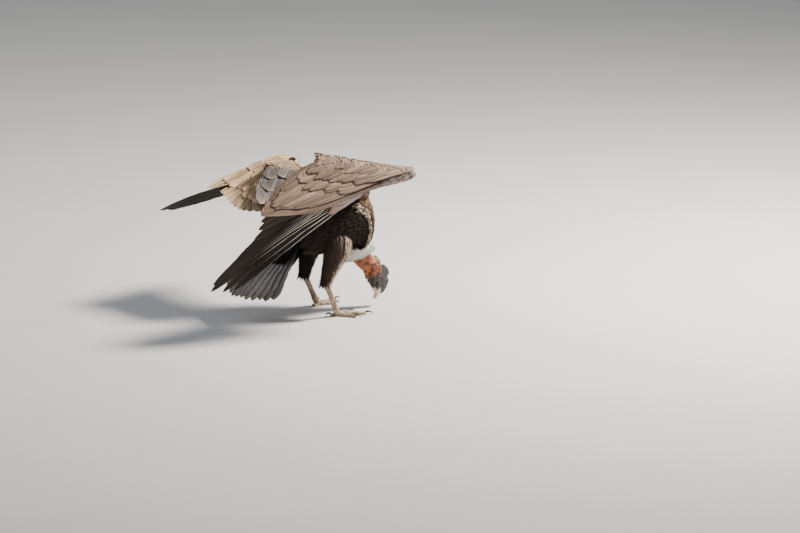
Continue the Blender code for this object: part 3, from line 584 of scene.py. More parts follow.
def mesh_of(places, faces, sharp=60.0):
    """A mesh from arrays of places, in the bird's own frame, and four-sided faces."""
    mesh = bpy.data.meshes.new("piece")
    mesh.vertices.add(len(places))
    mesh.vertices.foreach_set("co", (places + STEP).astype(np.float32).ravel())
    mesh.loops.add(faces.size)
    mesh.loops.foreach_set("vertex_index", faces.astype(np.int32).ravel())
    mesh.polygons.add(len(faces))
    mesh.polygons.foreach_set("loop_start", np.arange(0, faces.size, 4, dtype=np.int32))
    mesh.update(calc_edges=True)
    mesh.shade_smooth()
    mesh.set_sharp_from_angle(angle=math.radians(sharp))
    return mesh


print("pieces can be settled on the bird")

# %% [markdown]
# ## Bending the leaf
# A tract is given as the lines of its shafts, which way is up at each, and the half width. The
# outline widens from the quill and rounds off at the tip. In a tier every leaf leans a little
# about its shaft, so that each slips under its neighbour as real feathers do. Most rims are
# frayed.

# %% A tract of feathers
def rows_of(count):
    """Stations along a feather, closer together towards the tip."""
    return 1.0 - (1.0 - np.linspace(0.0, 1.0, count + 1)) ** (1.35 if count > 9 else 1.75)


def outline(t, pointed, base):
    grown = base + (1.0 - base) * np.minimum(t / 0.28, 1.0) ** 0.7
    over_tip = np.clip((t - (1.0 - pointed)) / pointed, 0.0, 1.0)
    return grown * np.maximum(np.sqrt(np.maximum(1.0 - over_tip ** 2.3, 0.0)), 0.05)


class Tract:
    """Feathers that are made into one mesh."""

    def __init__(self):
        self.places, self.faces, self.vane, self.patch = [], [], [], []
        self.tone, self.worn, self.layer = [], [], []
        self.count = 0

    def add(self, lines, ups, half, cols=4, pointed=0.35, base=0.25, slope=0.0, camber=0.0,
            thick=0.0005, fray=0.0, worn=0.0, roots=None):
        """lines: the shafts, n by rows + 1 by 3. ups: which way is up. half: half the width.
        slope: how each leans about its shaft. roots: places on the map of the skin."""
        n, stations = lines.shape[:2]
        pattern, faces = leaf(cols, stations - 1)
        across, layer = pattern[:, 0], pattern[:, 2]
        t = rows_of(stations - 1)
        row = np.rint(pattern[:, 1] * (stations - 1)).astype(int)
        way = unit(np.gradient(lines, axis=1))
        ups = ups if np.ndim(ups) == 3 else np.asarray(ups)[..., None, :]
        side = unit(np.cross(way, np.broadcast_to(ups, lines.shape)))
        top = np.cross(side, way)
        width = np.broadcast_to(half, (n,))[:, None] * outline(t, pointed, base)
        reach = width[:, row] * across
        if fray:
            torn = rng.uniform(0.0, 1.0, (n, stations, 2)) ** 3.0 * fray
            reach = reach * (1.0 - torn[:, row, (across > 0).astype(int)] * (np.abs(across) > 0.9))
        rise = layer * thick * (1.0 - 0.5 * np.abs(across))
        rise = rise + np.broadcast_to(slope, (n,))[:, None] * reach - camber * reach * across
        blunt = np.abs(reach) * across ** 2 * t[row] ** 6 * (0.55 if stations < 10 else 0.20)
        where = lines[:, row] + side[:, row] * reach[..., None] + top[:, row] * rise[..., None]
        self.places.append((where - way[:, row] * blunt[..., None]).reshape(-1, 3))
        firsts = (np.arange(n) * len(pattern))[:, None, None] + self.count
        self.faces.append((faces[None] + firsts).reshape(-1, 4))
        vane = np.stack((across * 0.5 + 0.5, t[row]), axis=1)
        self.vane.append(np.tile(vane, (n, 1)))
        if roots is None:       # side by side, each feather in its own strip of the map
            strip = ((np.arange(n) + 0.05)[:, None] + 0.9 * vane[:, 0]) / n
            patch = np.stack((strip, np.broadcast_to(0.02 + 0.96 * vane[:, 1], strip.shape)), axis=2)
        else:
            patch = np.asarray(roots)[:, None] + (vane - 0.5) * 0.003
        self.patch.append(patch.reshape(-1, 2))
        self.tone.append(np.repeat(rng.uniform(0.0, 1.0, n), len(pattern)))
        self.worn.append(np.repeat(np.broadcast_to(worn, (n,)), len(pattern)))
        self.layer.append(np.tile(0.5 + 0.5 * layer, n))
        self.count += n * len(pattern)

    def done(self, name, slot, paint, *nodes):
        faces = np.concatenate(self.faces)
        mesh = mesh_of(np.concatenate(self.places), faces)
        for label, values in (("Vane", self.vane), ("OFBake", self.patch)):
            layer = mesh.uv_layers.new(name=label)
            corners = np.concatenate(values)[faces.ravel()]
            layer.data.foreach_set("uv", corners.astype(np.float32).ravel())
        for label, values in (("tone", self.tone), ("worn", self.worn), ("layer", self.layer)):
            layer = mesh.attributes.new(label, "FLOAT", "POINT")
            layer.data.foreach_set("value", np.concatenate(values).astype(np.float32))
        return settle(mesh, name, slot, PAINT[paint], *nodes)


def laid(surface, along, across, lift, rows):
    """Shafts that follow a surface. along, across and lift are pairs: at the root, at the tip."""
    t = rows_of(rows)
    a, c, g = (np.asarray(first)[..., None] + (np.asarray(last) - np.asarray(first))[..., None] * t
               for first, last in (along, across, lift))
    lines = surface(a, c, g)
    return lines, unit(surface(a, c, g + 0.002) - lines)


print("stations along a feather:", rows_of(5).round(2))

# %% [markdown]
# ## The surfaces that the coat lies on
# Trunk and limbs are tubes of changing size, and a wing's upper side is a sheet through the
# roots and the tips of its long feathers. Each is a function of two numbers and a height, which
# gives the skin below and the feathers above from the same shape.

# %% Trunk and limbs
def trunk(along, across, lift=0.0, blunt=0.10):
    """The trunk, from under the tail at 0 to the neck at 1. across is a turn, 0.25 on the back."""
    along, across, lift = np.broadcast_arrays(along, across, lift)
    row = curve(TORSO, along)
    high = np.stack((row[..., 0], row[..., 5], row[..., 1]), axis=-1)
    low = np.stack((row[..., 2], row[..., 5], row[..., 3]), axis=-1)
    reach = (high - low) * 0.5
    tall = np.linalg.norm(reach, axis=-1, keepdims=True)
    reach = reach * (1.0 + lift[..., None] / tall)
    wide = (row[..., 4] + lift)[..., None] * HEAD_TO_LEFT
    shrink = rounded(from_end(along, blunt))[..., None]
    angle = (across * math.tau)[..., None]
    return (high + low) * 0.5 + (wide * np.cos(angle) + reach * np.sin(angle)) * shrink


class Limb:
    """A tube through stations of x, y, z, half width, reach up and reach down."""

    def __init__(self, stations, side=(0.0, 1.0, 0.0), blunt=0.16):
        self.stations, self.side, self.blunt = np.asarray(stations, float), np.asarray(side), blunt

    def __call__(self, along, across, lift=0.0):
        along, across, lift = np.broadcast_arrays(along, across, lift)
        row = curve(self.stations, along)
        way = unit(curve(self.stations, np.minimum(along + 0.01, 1.0))[..., :3]
                   - curve(self.stations, np.maximum(along - 0.01, 0.0))[..., :3])
        left = unit(self.side - way * np.sum(way * self.side, axis=-1, keepdims=True))
        top = np.cross(way, left)
        angle = across * math.tau
        shrink = rounded(from_end(along, self.blunt))
        reach = np.where(np.sin(angle) > 0.0, row[..., 4], row[..., 5])
        out = left * (np.cos(angle) * (row[..., 3] + lift) * shrink)[..., None]
        return row[..., :3] + out + top * (np.sin(angle) * (reach + lift) * shrink)[..., None]


def thigh_of(side):
    knee, heel = np.array(KNEE[side]), np.array(HEEL[side])
    hip = knee + (0.014, -0.030 * np.sign(knee[1]), 0.062)
    rows = [(*hip, 0.034, 0.050, 0.044), (*knee, 0.042, 0.050, 0.046),
            (*blend(knee, heel, 0.35), 0.034, 0.037, 0.033), (*blend(knee, heel, 0.70), 0.023, 0.023, 0.024),
            (*blend(knee, heel, 1.04), 0.014, 0.015, 0.016)]
    return Limb(rows, blunt=0.08)


neck = Limb(NECK, blunt=0.05)
print("middle of the back:", trunk(0.5, 0.25).round(3), "throat:", neck(0.6, 0.75).round(3))

# %% [markdown]
# ## Small feathers all over a surface
# Roots have to be spread evenly, however a tube swells or a sheet widens. So distances are
# measured on the surface itself, and every second row is shifted by half a step, like tiles.

# %% Roots, and what grows from them
def walked(line):
    """How far along a line of places each of them lies."""
    return np.concatenate(([0.0], np.linalg.norm(np.diff(line, axis=0), axis=1).cumsum()))


def rows_on(surface, stations, spacing):
    """Roots spread evenly over a tube: along and across, staggered from row to row."""
    along, across = [], []
    turn = np.linspace(0.0, 1.0, 41)
    for k, t in enumerate(stations):
        number = max(6, int(walked(surface(t, turn))[-1] / spacing))
        along.append(np.full(number, t))
        across.append((np.arange(number) + 0.5 * (k % 2)) / number)
    along, across = np.concatenate(along), np.concatenate(across)
    return along + jitter(len(along), 0.006), across + jitter(len(across), 0.004)


def scattered(sheet, first, last, spacing, columns):
    """Roots spread evenly over a sheet, in columns from its front edge back, staggered."""
    starts, sides = [], []
    steps = np.linspace(first, last, 61)
    for k, s in enumerate(np.linspace(0.0, 1.0, columns)):
        far = walked(sheet(steps, s))
        number = max(2, int(far[-1] / spacing))
        wanted = (np.arange(number) + 0.5 * (k % 2) + 0.2) / number * far[-1]
        starts.append(np.interp(wanted, far, steps))
        sides.append(np.full(number, s))
    return np.concatenate(starts), np.concatenate(sides)


def beyond(sheet, along, across, length):
    """Where along the sheet a feather ends that starts at along and has this length."""
    steps = np.linspace(0.0, 1.3, 40)
    return np.array([np.interp(wanted, walked(sheet(a + steps, s)), a + steps)
                     for a, s, wanted in zip(along, across, length)])


def skin_map(along, across):
    """Where a root lies on the map of a whole tube."""
    return np.stack((0.05 + 0.9 * across, 0.05 + 0.9 * along), axis=1)


TILE = dict(pointed=0.50, base=0.35, camber=0.20, thick=0.0005, fray=0.15)    # small and rounded
WISP = dict(pointed=0.80, base=0.5, thick=0.0004)                             # loose and narrow
COAT = dict(uneven=0.20, wander=0.006, widths=0.2, mapped=skin_map)           # as most of them grow


def clothe(tract, surface, roots, share, lift, half, cols=4, rows=5, uneven=0.0, wander=0.0, widths=0.0,
           last=None, wear=0.0, mapped=None, **shape):
    """Grow a feather at each root, which ends a share further along the surface.
    lift: at the root, at the tip, and how much the tip's differs. uneven, wander, widths: how much
    lengths, ways and widths differ. last: where the coat ends. wear: a number, or told by place."""
    along, across = roots
    n = len(along)
    ends = along + share * (1.0 + jitter(n, uneven))
    if last is not None:
        ends = np.maximum(ends, last) if share < 0 else np.minimum(ends, last)
    tips = across + jitter(n, wander)
    lines, ups = laid(surface, (along, ends), (across, tips), (lift[0], lift[1] + jitter(n, lift[2])), rows)
    half = half * (1.0 + jitter(n, widths))
    worn = wear(along, across) if callable(wear) else wear
    tract.add(lines, ups, half, cols, worn=worn, roots=mapped and mapped(along, across), **shape)


print("along the back:", walked(trunk(np.linspace(0.1, 0.9, 9), 0.25))[-1].round(3), "m")

# %% [markdown]
# ## The sheets of the wings
# Between the curve of the quills and the curve of the tips lies a sheet, and the feathers of a fan
# lie on it side by side. Its height is smoothed, so that neighbours overlap and none stands on
# edge. Before the fan, a second sheet runs over the arm to the front edge of the wing.

# %% The sheet of a fan
class Fan:
    """The sheet that a fan of long feathers lies on. across: 0 at the outer, 1 at the inner
    feather. along: 0 at the quills, 1 at the tips. lift: how far above the sheet."""

    REACH = 0.30       # over this distance the sheet is smoothed

    def __init__(self, roots, tips, arch, hint):
        self.roots, self.tips, self.arch = roots, tips, arch
        self.spots = self.raw(*np.meshgrid(np.linspace(0, 1, 9), np.linspace(0, 1, 13))).reshape(-1, 3)
        self.middle = self.spots.mean(axis=0)
        self.axes = np.linalg.svd(self.spots - self.middle)[2]
        self.up = self.axes[2] * np.sign(self.axes[2] @ np.asarray(hint))
        offset = self.spots - self.middle
        self.flat = np.column_stack((np.ones(len(offset)), offset @ self.axes[:2].T))
        self.high = offset @ self.up

    def raw(self, along, across):
        a = np.asarray(along, float)[..., None]
        return blend(curve(self.roots, across), curve(self.tips, across), a) \
            + self.arch(np.asarray(across, float)[..., None]) * (4.0 * a * (1.0 - a))

    def __call__(self, along, across, lift=0.0):
        along, across, lift = np.broadcast_arrays(along, across, lift)
        place = self.raw(along, across)
        offset = place - self.middle
        spot = offset @ self.axes[:2].T
        away = ((self.flat[:, 1:] - spot[..., None, :]) ** 2).sum(axis=-1)
        weight = np.exp(-(away - away.min(axis=-1, keepdims=True)) / self.REACH ** 2)
        square = np.einsum("...k,ki,kj->...ij", weight, self.flat, self.flat) + np.eye(3) * 1e-7
        seen = np.einsum("...k,ki,k->...i", weight, self.flat, self.high)
        plane = np.linalg.solve(square, seen[..., None])[..., 0]
        wanted = plane[..., 0] + (plane[..., 1:] * spot).sum(axis=-1) + lift
        return place + self.up * (wanted - offset @ self.up)[..., None]


print("each fan is smoothed over", Fan.REACH, "m")

# %% [markdown]
# From the front edge of the wing a web of skin runs back to the forearm. The sheet over it rises
# from the edge, bends over the bone and comes down on the fan, as the small coverts do.

# %% The sheet over the arm
class Shoulder:
    """The upper side before the long feathers: from the front edge at along -1, over the arm
    between -0.3 and -0.1, to a little way over the fan at 0.35. The sheet bends over the arm,
    so up turns from the web's own to the fan's."""

    KNOTS = (-1.0, -0.62, -0.30, -0.12, 0.05, 0.35)

    def __init__(self, lines, web_up, fan, lift=0.011, turned=1.0):
        self.lines, self.web_up, self.fan, self.lift, self.turned = lines, web_up, fan, lift, turned

    def __call__(self, along, across, lift=0.0):
        along, across, lift = np.broadcast_arrays(along, across, lift)
        flat = np.clip(across, 0.0, 1.0)
        rows = [line(flat[..., None]) for line in self.lines]
        rows += [self.fan(0.05, flat, self.lift), self.fan(0.35, flat, self.lift * 0.8)]
        rows = np.stack(rows, axis=-2)
        last = len(self.KNOTS) - 1
        place = np.interp(along, self.KNOTS, np.arange(last + 1.0))
        i = np.minimum(place.astype(int), last - 1)

        def pick(k):
            index = np.clip(i + k, 0, last)[..., None, None]
            index = np.broadcast_to(index, (*index.shape[:-1], 3))
            return np.take_along_axis(rows, index, axis=-2)[..., 0, :]

        up = unit(blend(self.web_up, self.fan.up, ease((along + 0.42) / 0.42)[..., None]))
        place = through(pick(-1), pick(0), pick(1), pick(2), (place - i)[..., None])
        return place + up * (lift[..., None] * self.turned)


def arm_tube(a, b, rows, **more):
    """A round tube along a bone. rows: how far from a to b, radius."""
    return Limb([(*blend(a, b, t), r, r, r) for t, r in rows], side=(0.3, 0.5, 0.8), **more)


print("knots of the sheet, from the front edge to the fan:", Shoulder.KNOTS)

# %% [markdown]
# Both wings are made by one function from the places above. The quills leave the bones a little
# behind and above them, and the hand's sit lower, so that its feathers slip under the others.

# %% Both wings
QUILL_BACK, QUILL_RAISED = 0.014, 0.010        # where the secondaries leave the forearm
HAND_QUILL_SUNK, MORE_AT_WRIST = 0.022, 0.0198
ARM_QUILL_RAISED, FAN_ARCH = 0.020, 0.010
EDGE_RADIUS = 0.0075


def wing_of(side):
    """A wing's places, the three fans of its long feathers, its sheets and its tubes."""
    shoulder, elbow, wrist, hand_end = (np.array(p[side]) for p in (SHOULDER, ELBOW, WRIST, HAND_END))
    up_out, up_in = (unit(np.array(v)) for v in WING_UP[side])
    hand_up, hand_fan_up = (unit(np.array(v)) for v in HAND_UP[side])
    trailing = unit(np.array(SECONDARY_TIPS[side][2]) - blend(wrist, elbow, 0.5))
    roots = [blend(wrist, elbow, t) + trailing * QUILL_BACK + blend(up_out, up_in, t) * QUILL_RAISED
             for t in (0.12, 0.5, 0.94)]
    inner = Fan(roots, SECONDARY_TIPS[side], lambda s: blend(up_out, up_in, s) * FAN_ARCH, up_in)
    roots = [blend(wrist, hand_end, t) - hand_up * (HAND_QUILL_SUNK + MORE_AT_WRIST * (1.0 - t))
             for t in (0.16, 0.5, 0.94)]
    rise, more = PRIMARY_RISE[side]
    outer = Fan(roots[::-1], PRIMARY_TIPS[side][::-1],
                lambda s: np.array((0.0, 0.0, 1.0)) * (rise + more * np.sin(np.pi * s)), hand_fan_up)
    roots = [blend(shoulder, elbow, t) + up_in * ARM_QUILL_RAISED for t in (0.10, 0.5, 0.92)]
    arm = Fan(roots[::-1], SCAPULAR_TIPS[side][::-1], lambda s: up_in * np.full_like(s, FAN_ARCH), up_in)
    web_up = unit(np.cross(shoulder - elbow, wrist - elbow))
    web_up = web_up * np.sign(web_up[2])
    ridge = unit(web_up * 0.85 + inner.up)

    def front(s):
        hollow = unit(blend(shoulder, wrist, 0.5) - elbow) * (-0.020 * np.sin(np.pi * s))
        return blend(wrist, shoulder, 0.90 * s) + hollow

    def web(share, height, more=0.0):
        """A line in the web, a share of the way from the front edge to the forearm."""
        return lambda s: blend(front(s), blend(wrist, elbow, s), share) + web_up * (height + more * s)

    def over_bone(up, height, more):
        """A line round the forearm, on the side that up and the ridge tell."""
        return lambda s: blend(wrist, elbow, s) + unit(up + ridge) * (height + more * s)

    above = (front, web(0.45, 0.011, 0.006), over_bone(web_up, 0.019, 0.006),
             over_bone(inner.up, 0.020, 0.005))
    beneath = (front, web(0.5, -0.010), over_bone(web_up, -0.017, -0.006),
               over_bone(inner.up, -0.017, -0.005))
    hand = [(*blend(wrist, hand_end, t), thick, deep, deep) for t, thick, deep in
            ((-0.17, 0.011, 0.014), (0.0, 0.018, 0.023), (0.4, 0.016, 0.019), (0.9, 0.012, 0.013),
             (1.3, 0.007, 0.008))]
    return SimpleNamespace(
        elbow=elbow, wrist=wrist, front=front, web_up=web_up, inner=inner, outer=outer, arm=arm,
        edge=Limb([(*front(s), *([EDGE_RADIUS] * 3)) for s in np.linspace(0.0, 1.0, 9)]),
        hand=Limb(hand, side=hand_up, blunt=0.12),
        upper=arm_tube(shoulder, elbow, ((-0.08, 0.033), (0.3, 0.033), (0.8, 0.023), (1.0, 0.018)),
                       blunt=0.10),
        fore=arm_tube(elbow, wrist, ((0.0, 0.018), (0.2, 0.018), (0.7, 0.015), (1.0, 0.014)), blunt=0.10),
        above=Shoulder(above, web_up, inner),
        beneath=Shoulder(beneath, web_up, inner, -0.008, -1.0))


WINGS = {side: wing_of(side) for side in SIDES}
for side, wing in WINGS.items():
    print(side, "fan faces", wing.inner.up.round(2), "hand", wing.outer.up.round(2))

# %% [markdown]
# ## Flight feathers
# The long feathers decide the outline of the bird. Ten grow from each hand and thirteen from each
# forearm. An inner feather always lies over its outer neighbour, so every leaf leans the same way.

# %% Long feathers of the wings
def placed(fan, count, rows, wander):
    """Shafts side by side on a fan, from the outer to the inner feather."""
    s = np.linspace(0.0, 1.0, count)
    tips = np.clip(s + jitter(count, wander), 0.0, 1.0)
    ends = 1.0 + jitter(count, wander * 0.6)
    return laid(fan, (0.0, ends), (s, tips), (0.0, 0.0), rows)


def over_outer_one(fan, lines, lean):
    """The lean that lays each feather over its outer neighbour."""
    out = fan(0.5, 0.2) - fan(0.5, 0.8)
    side = np.cross(lines[0, -1] - lines[0, 0], fan.up)
    return lean * math.copysign(1.0, float(side @ out))


SECONDARIES, PRIMARIES = 13, 10
QUILL = {}
for side, wing in WINGS.items():
    near = side == NEAR
    tract = Tract()
    lines, ups = placed(wing.inner, SECONDARIES, 20, 0.008)
    s = np.linspace(0.0, 1.0, SECONDARIES)
    lean = over_outer_one(wing.inner, lines, 0.075)
    tract.add(lines, ups, 0.032 - 0.004 * s, 8, 0.30, slope=lean, camber=0.02, thick=0.0007, fray=0.10)
    QUILL["secondaries", side] = lines
    tract.done("secondaries_" + side, "wing_pale", "near_coverts" if near else "far_coverts",
               "forearm_" + side)
    tract = Tract()
    lines, ups = placed(wing.outer, PRIMARIES, 26, 0.006 if near else 0.022)
    s = np.linspace(0.0, 1.0, PRIMARIES)
    lean = over_outer_one(wing.outer, lines, 0.085)
    # worn here only picks which rim carries the painted highlight.
    tract.add(lines, ups, (0.025 if near else 0.019) + 0.006 * s, 8, 0.42, slope=lean, camber=0.02,
              thick=0.0007, fray=0.12 if near else 0.30, worn=1.0 if lean > 0 else 0.0)
    QUILL["primaries", side] = lines
    tract.done("primaries_" + side, "flight", "primaries", "hand_" + side)

# %% [markdown]
# ## Coverts
# Over the long feathers lie tiers of shorter ones: the greater coverts, the medians and many rows
# of lessers that run out to the front edge. On the near wing the greater coverts make the long
# warm panel, and on the far wing they are big pale petals.

# %% Tiers over the forearm
COVERT = dict(pointed=0.40, base=0.3, camber=0.05, thick=0.0006, fray=0.10)


def tier(tract, surface, count, along, lift, half, cols=6, rows=10, across=(0.0, 1.0), fan=None,
         lean=0.09, wander=0.012, spread=0.15, **shape):
    """One row of coverts side by side on a surface, each lying over its outer neighbour."""
    s = np.linspace(across[0], across[1], count) + jitter(count, wander * 0.5)
    tips = s + jitter(count, wander)
    start = along[0] + jitter(count, 0.006)
    end = along[1] + jitter(count, spread * (along[1] - along[0]))
    lines, ups = laid(surface, (start, end), (s, tips), (lift[0], lift[1] + jitter(count, 0.0012)), rows)
    lean = over_outer_one(fan or surface, lines, lean)
    half = half * (1.0 + jitter(count, 0.10))
    tract.add(lines, ups, half, cols, slope=lean, **{**COVERT, **shape})


NARROW = dict(cols=8, rows=20, pointed=0.34, fray=0.18, camber=0.025, wander=0.010, lean=0.06)
PETAL = dict(cols=8, rows=18, pointed=0.34, fray=0.06, camber=0.24, lean=0.13, spread=0.10, thick=0.0009)
for side, wing in WINGS.items():
    tract = Tract()
    if side == NEAR:
        for end, low, half, spread in ((0.84, 0.0032, 0.0165, 0.06), (0.46, 0.0064, 0.0150, 0.20)):
            tier(tract, wing.inner, 24, (-0.01, end), (low, low + 0.0012), half, spread=spread, **NARROW)
    else:
        for end, low, half in ((0.80, 0.004, 0.033), (0.50, 0.008, 0.031)):
            tier(tract, wing.inner, 9, (-0.01, end), (low, low + 0.002), half, **PETAL)
    paint = "near_coverts" if side == NEAR else "far_coverts"
    tract.done("greater_coverts_" + side, "wing_pale", paint)
    tract = Tract()
    number, half = (24, 0.0150) if side == NEAR else (15, 0.0220)
    tier(tract, wing.above, number, (-0.10, 0.27), (0.000, 0.002), half, fan=wing.inner,
         camber=0.075, pointed=0.5)
    tier(tract, wing.above, number + 1, (-0.18, 0.13), (0.000, 0.003), half * 0.9, fan=wing.inner,
         camber=0.125, pointed=0.5)
    tract.done("median_coverts_" + side, "wing_pale", paint)
    tract = Tract()
    starts, sides = scattered(wing.above, -1.0, -0.05, 0.0120, 30)
    number = len(starts)
    ends = beyond(wing.above, starts, sides, 0.034 * (1.0 + jitter(number, 0.15)))
    tips = np.clip(sides + jitter(number, 0.008), 0.0, 1.0)
    lines, ups = laid(wing.above, (starts, ends), (sides, tips),
                      (-0.003, 0.0025 + jitter(number, 0.0015)), 6)
    grey = ease((0.30 - sides) / 0.25) if side == NEAR else rng.uniform(0.0, 1.0, number) ** 3
    tract.add(lines, ups, 0.0115 * (1.0 + jitter(number, 0.12)), worn=grey,
              **{**TILE, "camber": 0.25, "fray": 0.12})
    clothe(tract, wing.edge, rows_on(wing.edge, np.linspace(0.03, 0.93, 34), 0.0085), 0.075,
           (-0.003, 0.0015, 0.0008), 0.0070, last=0.99, wear=0.6 if side == NEAR else 0.2,
           pointed=0.50, base=0.40, camber=0.2, thick=0.0004, fray=0.08)
    tract.done("lesser_coverts_" + side, "wing_pale", "near_coverts" if side == NEAR else "lesser_coverts")

# %% [markdown]
# The hand has its own coverts, grey ones that wrap round the wrist. The scapulars start at the
# shoulder and hang over the back, where they close the gap between the wing and the trunk.

# %% Tiers over the hand, and the scapulars
for side, wing in WINGS.items():
    tract = Tract()
    tier(tract, wing.outer, 10, (0.0, 0.30), (0.006, 0.009), 0.020, rows=12, worn=0.8, spread=0.10)
    stations = np.concatenate(((0.0, 0.012, 0.03), np.linspace(0.06, 0.72, 8)))
    along, across = rows_on(wing.hand, stations, 0.0135)
    clothe(tract, wing.hand, (np.maximum(along, 0.0), across), 0.26, (-0.004, 0.002, 0.001), 0.0120,
           rows=7, uneven=0.12, widths=0.10, wear=lambda a, c: 0.75 + jitter(len(a), 0.25),
           pointed=0.45, base=0.35, camber=0.25, thick=0.0005, fray=0.08)
    tract.done("primary_coverts_" + side, "wing_pale", "near_coverts" if side == NEAR else "far_coverts")
    tract = Tract()
    for count, end, low, half in ((7, 1.0, 0.0, 0.030), (7, 0.70, 0.004, 0.028), (8, 0.38, 0.008, 0.025)):
        tier(tract, wing.arm, count, (0.0, end), (low, low + 0.002), half, 8, 14, spread=0.26,
             camber=0.12, pointed=0.50, wander=0.055, fray=0.20)
    tract.done("scapulars_" + side, "plumage", "body" if side == NEAR else "scapulars")

# %% [markdown]
# ## Under the wings
# Seen from in front or from below, the wings show dark coverts. They lie on the same sheets, with
# up turned to down. Small feathers cover the arm as well, and most of them sit on the shoulder,
# where the wing leaves the trunk.

# %% Under coverts
def underside(fan):
    """The same sheet seen from below: lift counts downwards."""
    def place(along, across, lift=0.0):
        return fan(along, across, 0.0) - fan.up * np.asarray(lift)[..., None]
    return place


for side, wing in WINGS.items():
    tract = Tract()
    for fan, number, margin, first, before, after, deep, half, slimmer in (
            (wing.inner, 14, 0.02, 0.30, 0.12, 0.16, 0.012, 0.026, 0.002),
            (wing.outer, 10, 0.04, 0.16, 0.08, 0.10, 0.011, 0.018, 0.0)):
        for k in range(3):
            start = first - 0.08 * k
            tier(tract, underside(fan), number + k, (start - before, start + after),
                 (0.006, deep + 0.002 * k), half - slimmer * k, 4, 8, (margin, 1.0 - margin), fan)
    starts, sides = scattered(wing.beneath, -1.0, 0.05, 0.0150, 26)
    number = len(starts)
    ends = beyond(wing.beneath, starts, sides, 0.040 * (1.0 + jitter(number, 0.15)))
    lines, ups = laid(wing.beneath, (starts, ends), (sides, sides),
                      (-0.003, 0.003 + jitter(number, 0.0015)), 5)
    tract.add(lines, ups, 0.0135, **TILE)
    tract.done("under_coverts_" + side, "flight", "body")
    up = unit(wing.inner.up + wing.web_up * 0.6)
    for name, above in (("arm_coat_", False), ("shoulder_coat_", True)):
        tract = Tract()
        for limb, first, last, share in ((wing.upper, 0.16, 0.93, 0.17),
                                         (wing.fore, 0.0, 0.10 if above else 0.93, 0.11)):
            along, across = rows_on(limb, np.linspace(first, last, round(20 * (last - first)) + 2), 0.014)
            out = unit(limb(along, across) - curve(limb.stations, along)[:, :3])
            kept = (out @ up > 0.05) == above
            clothe(tract, limb, (along[kept], across[kept]), share, (-0.004, 0.002, 0.0015), 0.0125,
                   uneven=0.15, last=0.97, wear=lambda a, c: rng.uniform(0.0, 0.6, len(a)),
                   **{**TILE, "camber": 0.25})
        if not above:
            clothe(tract, wing.upper, rows_on(wing.upper, np.linspace(-0.06, 0.26, 13), 0.0085), 0.10,
                   (-0.003, 0.004, 0.002), 0.0072, uneven=0.25, wander=0.02, widths=0.2,
                   wear=lambda a, c: rng.uniform(0.3, 1.0, len(a)), **{**TILE, "pointed": 0.60})
        shown = "near_coverts" if side == NEAR else "lesser_coverts"
        tract.done(name + side, "plumage", shown if above else "body")

# %% [markdown]
# ## Shafts
# A long feather has a shaft that stands proud of its vane and catches the light. It is a thin
# tapering rod along the same line, a little above the leaf.

# %% Shafts of the long feathers
def rods(tract, lines, ups, thick, above):
    """Thin tapering rods along the lines. They are leaves as thick as they are wide."""
    tract.add(lines + np.broadcast_to(ups, lines.shape) * above, ups, thick, 2, 0.9, 0.9,
              thick=thick * 1.6)


for side, wing in WINGS.items():
    tract = Tract()
    rods(tract, QUILL["secondaries", side], wing.inner.up, 0.0013, 0.0009)
    rods(tract, QUILL["primaries", side], wing.outer.up, 0.0013, 0.0009)
    tract.done("shafts_" + side, "flight", "flight")

# %% [markdown]
# ## Tail
# Twelve broad feathers spread like a fan. The middle pair lies on top, and each further pair
# slips under the last. The camera sees their upper side, black feathers painted grey as the sun
# would light them, beside the hanging primaries.

# %% Tail feathers and their coverts
pitch = math.radians(TAIL_PITCH)
TAIL_WAY = np.array((-math.cos(pitch), 0.0, -math.sin(pitch)))
TAIL_UP = np.array((-math.sin(pitch), 0.0, math.cos(pitch)))


def tail_sheet(along, across, lift=0.0):
    """across: -1 at the right, 1 at the left. along: 0 at the quills, 1 at the tips."""
    along, across, lift = np.broadcast_arrays(along, across, lift)
    s = across[..., None]
    turn = math.radians(TAIL_SPREAD) * s
    way = TAIL_WAY * np.cos(turn) + HEAD_TO_LEFT * np.sin(turn)
    a = along[..., None]
    long = TAIL_LENGTH * (1.0 - 0.10 * s * s)
    rise = lift[..., None] + 0.012 * 4.0 * a * (1.0 - a) - 0.016 * s * s
    return TAIL_AT + HEAD_TO_LEFT * (0.034 * s) + way * (long * a) + TAIL_UP * rise


def half_fan(tract, count, along, lift, half, turned, step=0.0020, rows=12, cols=8, **shape):
    """Feathers of both halves of the tail. turned is 1 on the upper side and -1 below it."""
    s = (np.arange(count) + 0.5) / count * 2.0 - 1.0
    rank = count / 2 - np.abs(np.arange(count) + 0.5 - count / 2) - np.where(s > 0, 0.5, 0.0)
    rise = lift + step * rank * turned
    ends = along[1] * (1.0 + jitter(count, 0.02))
    lines, ups = laid(tail_sheet, (along[0], ends), (s, s + jitter(count, 0.008)), (rise, rise), rows)
    tract.add(lines, ups * turned, half, cols, **shape)
    return lines


tract = Tract()
lines = half_fan(tract, TAIL_FEATHERS, (0.0, 1.0), 0.0, 0.029, 1.0, rows=16, pointed=0.20, thick=0.0008,
                 fray=0.22, camber=0.015)
tract.done("tail_feathers", "tail", "tail", "tail_feathers")
tract = Tract()
for above in (0.0008, -0.0012):
    rods(tract, lines, TAIL_UP, 0.0015, above)
tract.done("tail_shafts", "tail", "tail")
for name, turned in (("tail_coverts_upper", 1.0), ("tail_coverts_under", -1.0)):
    tract = Tract()
    for k, (start, end, count) in enumerate(((0.02, 0.42, 9), (-0.10, 0.30, 9), (-0.20, 0.18, 8))):
        half_fan(tract, count, (start, end), (0.013 + 0.003 * k) * turned, 0.026, turned, 0.0012, 9, 6,
                 pointed=0.5, fray=0.12, camber=0.05)
    tract.done(name, "plumage", "body", name)

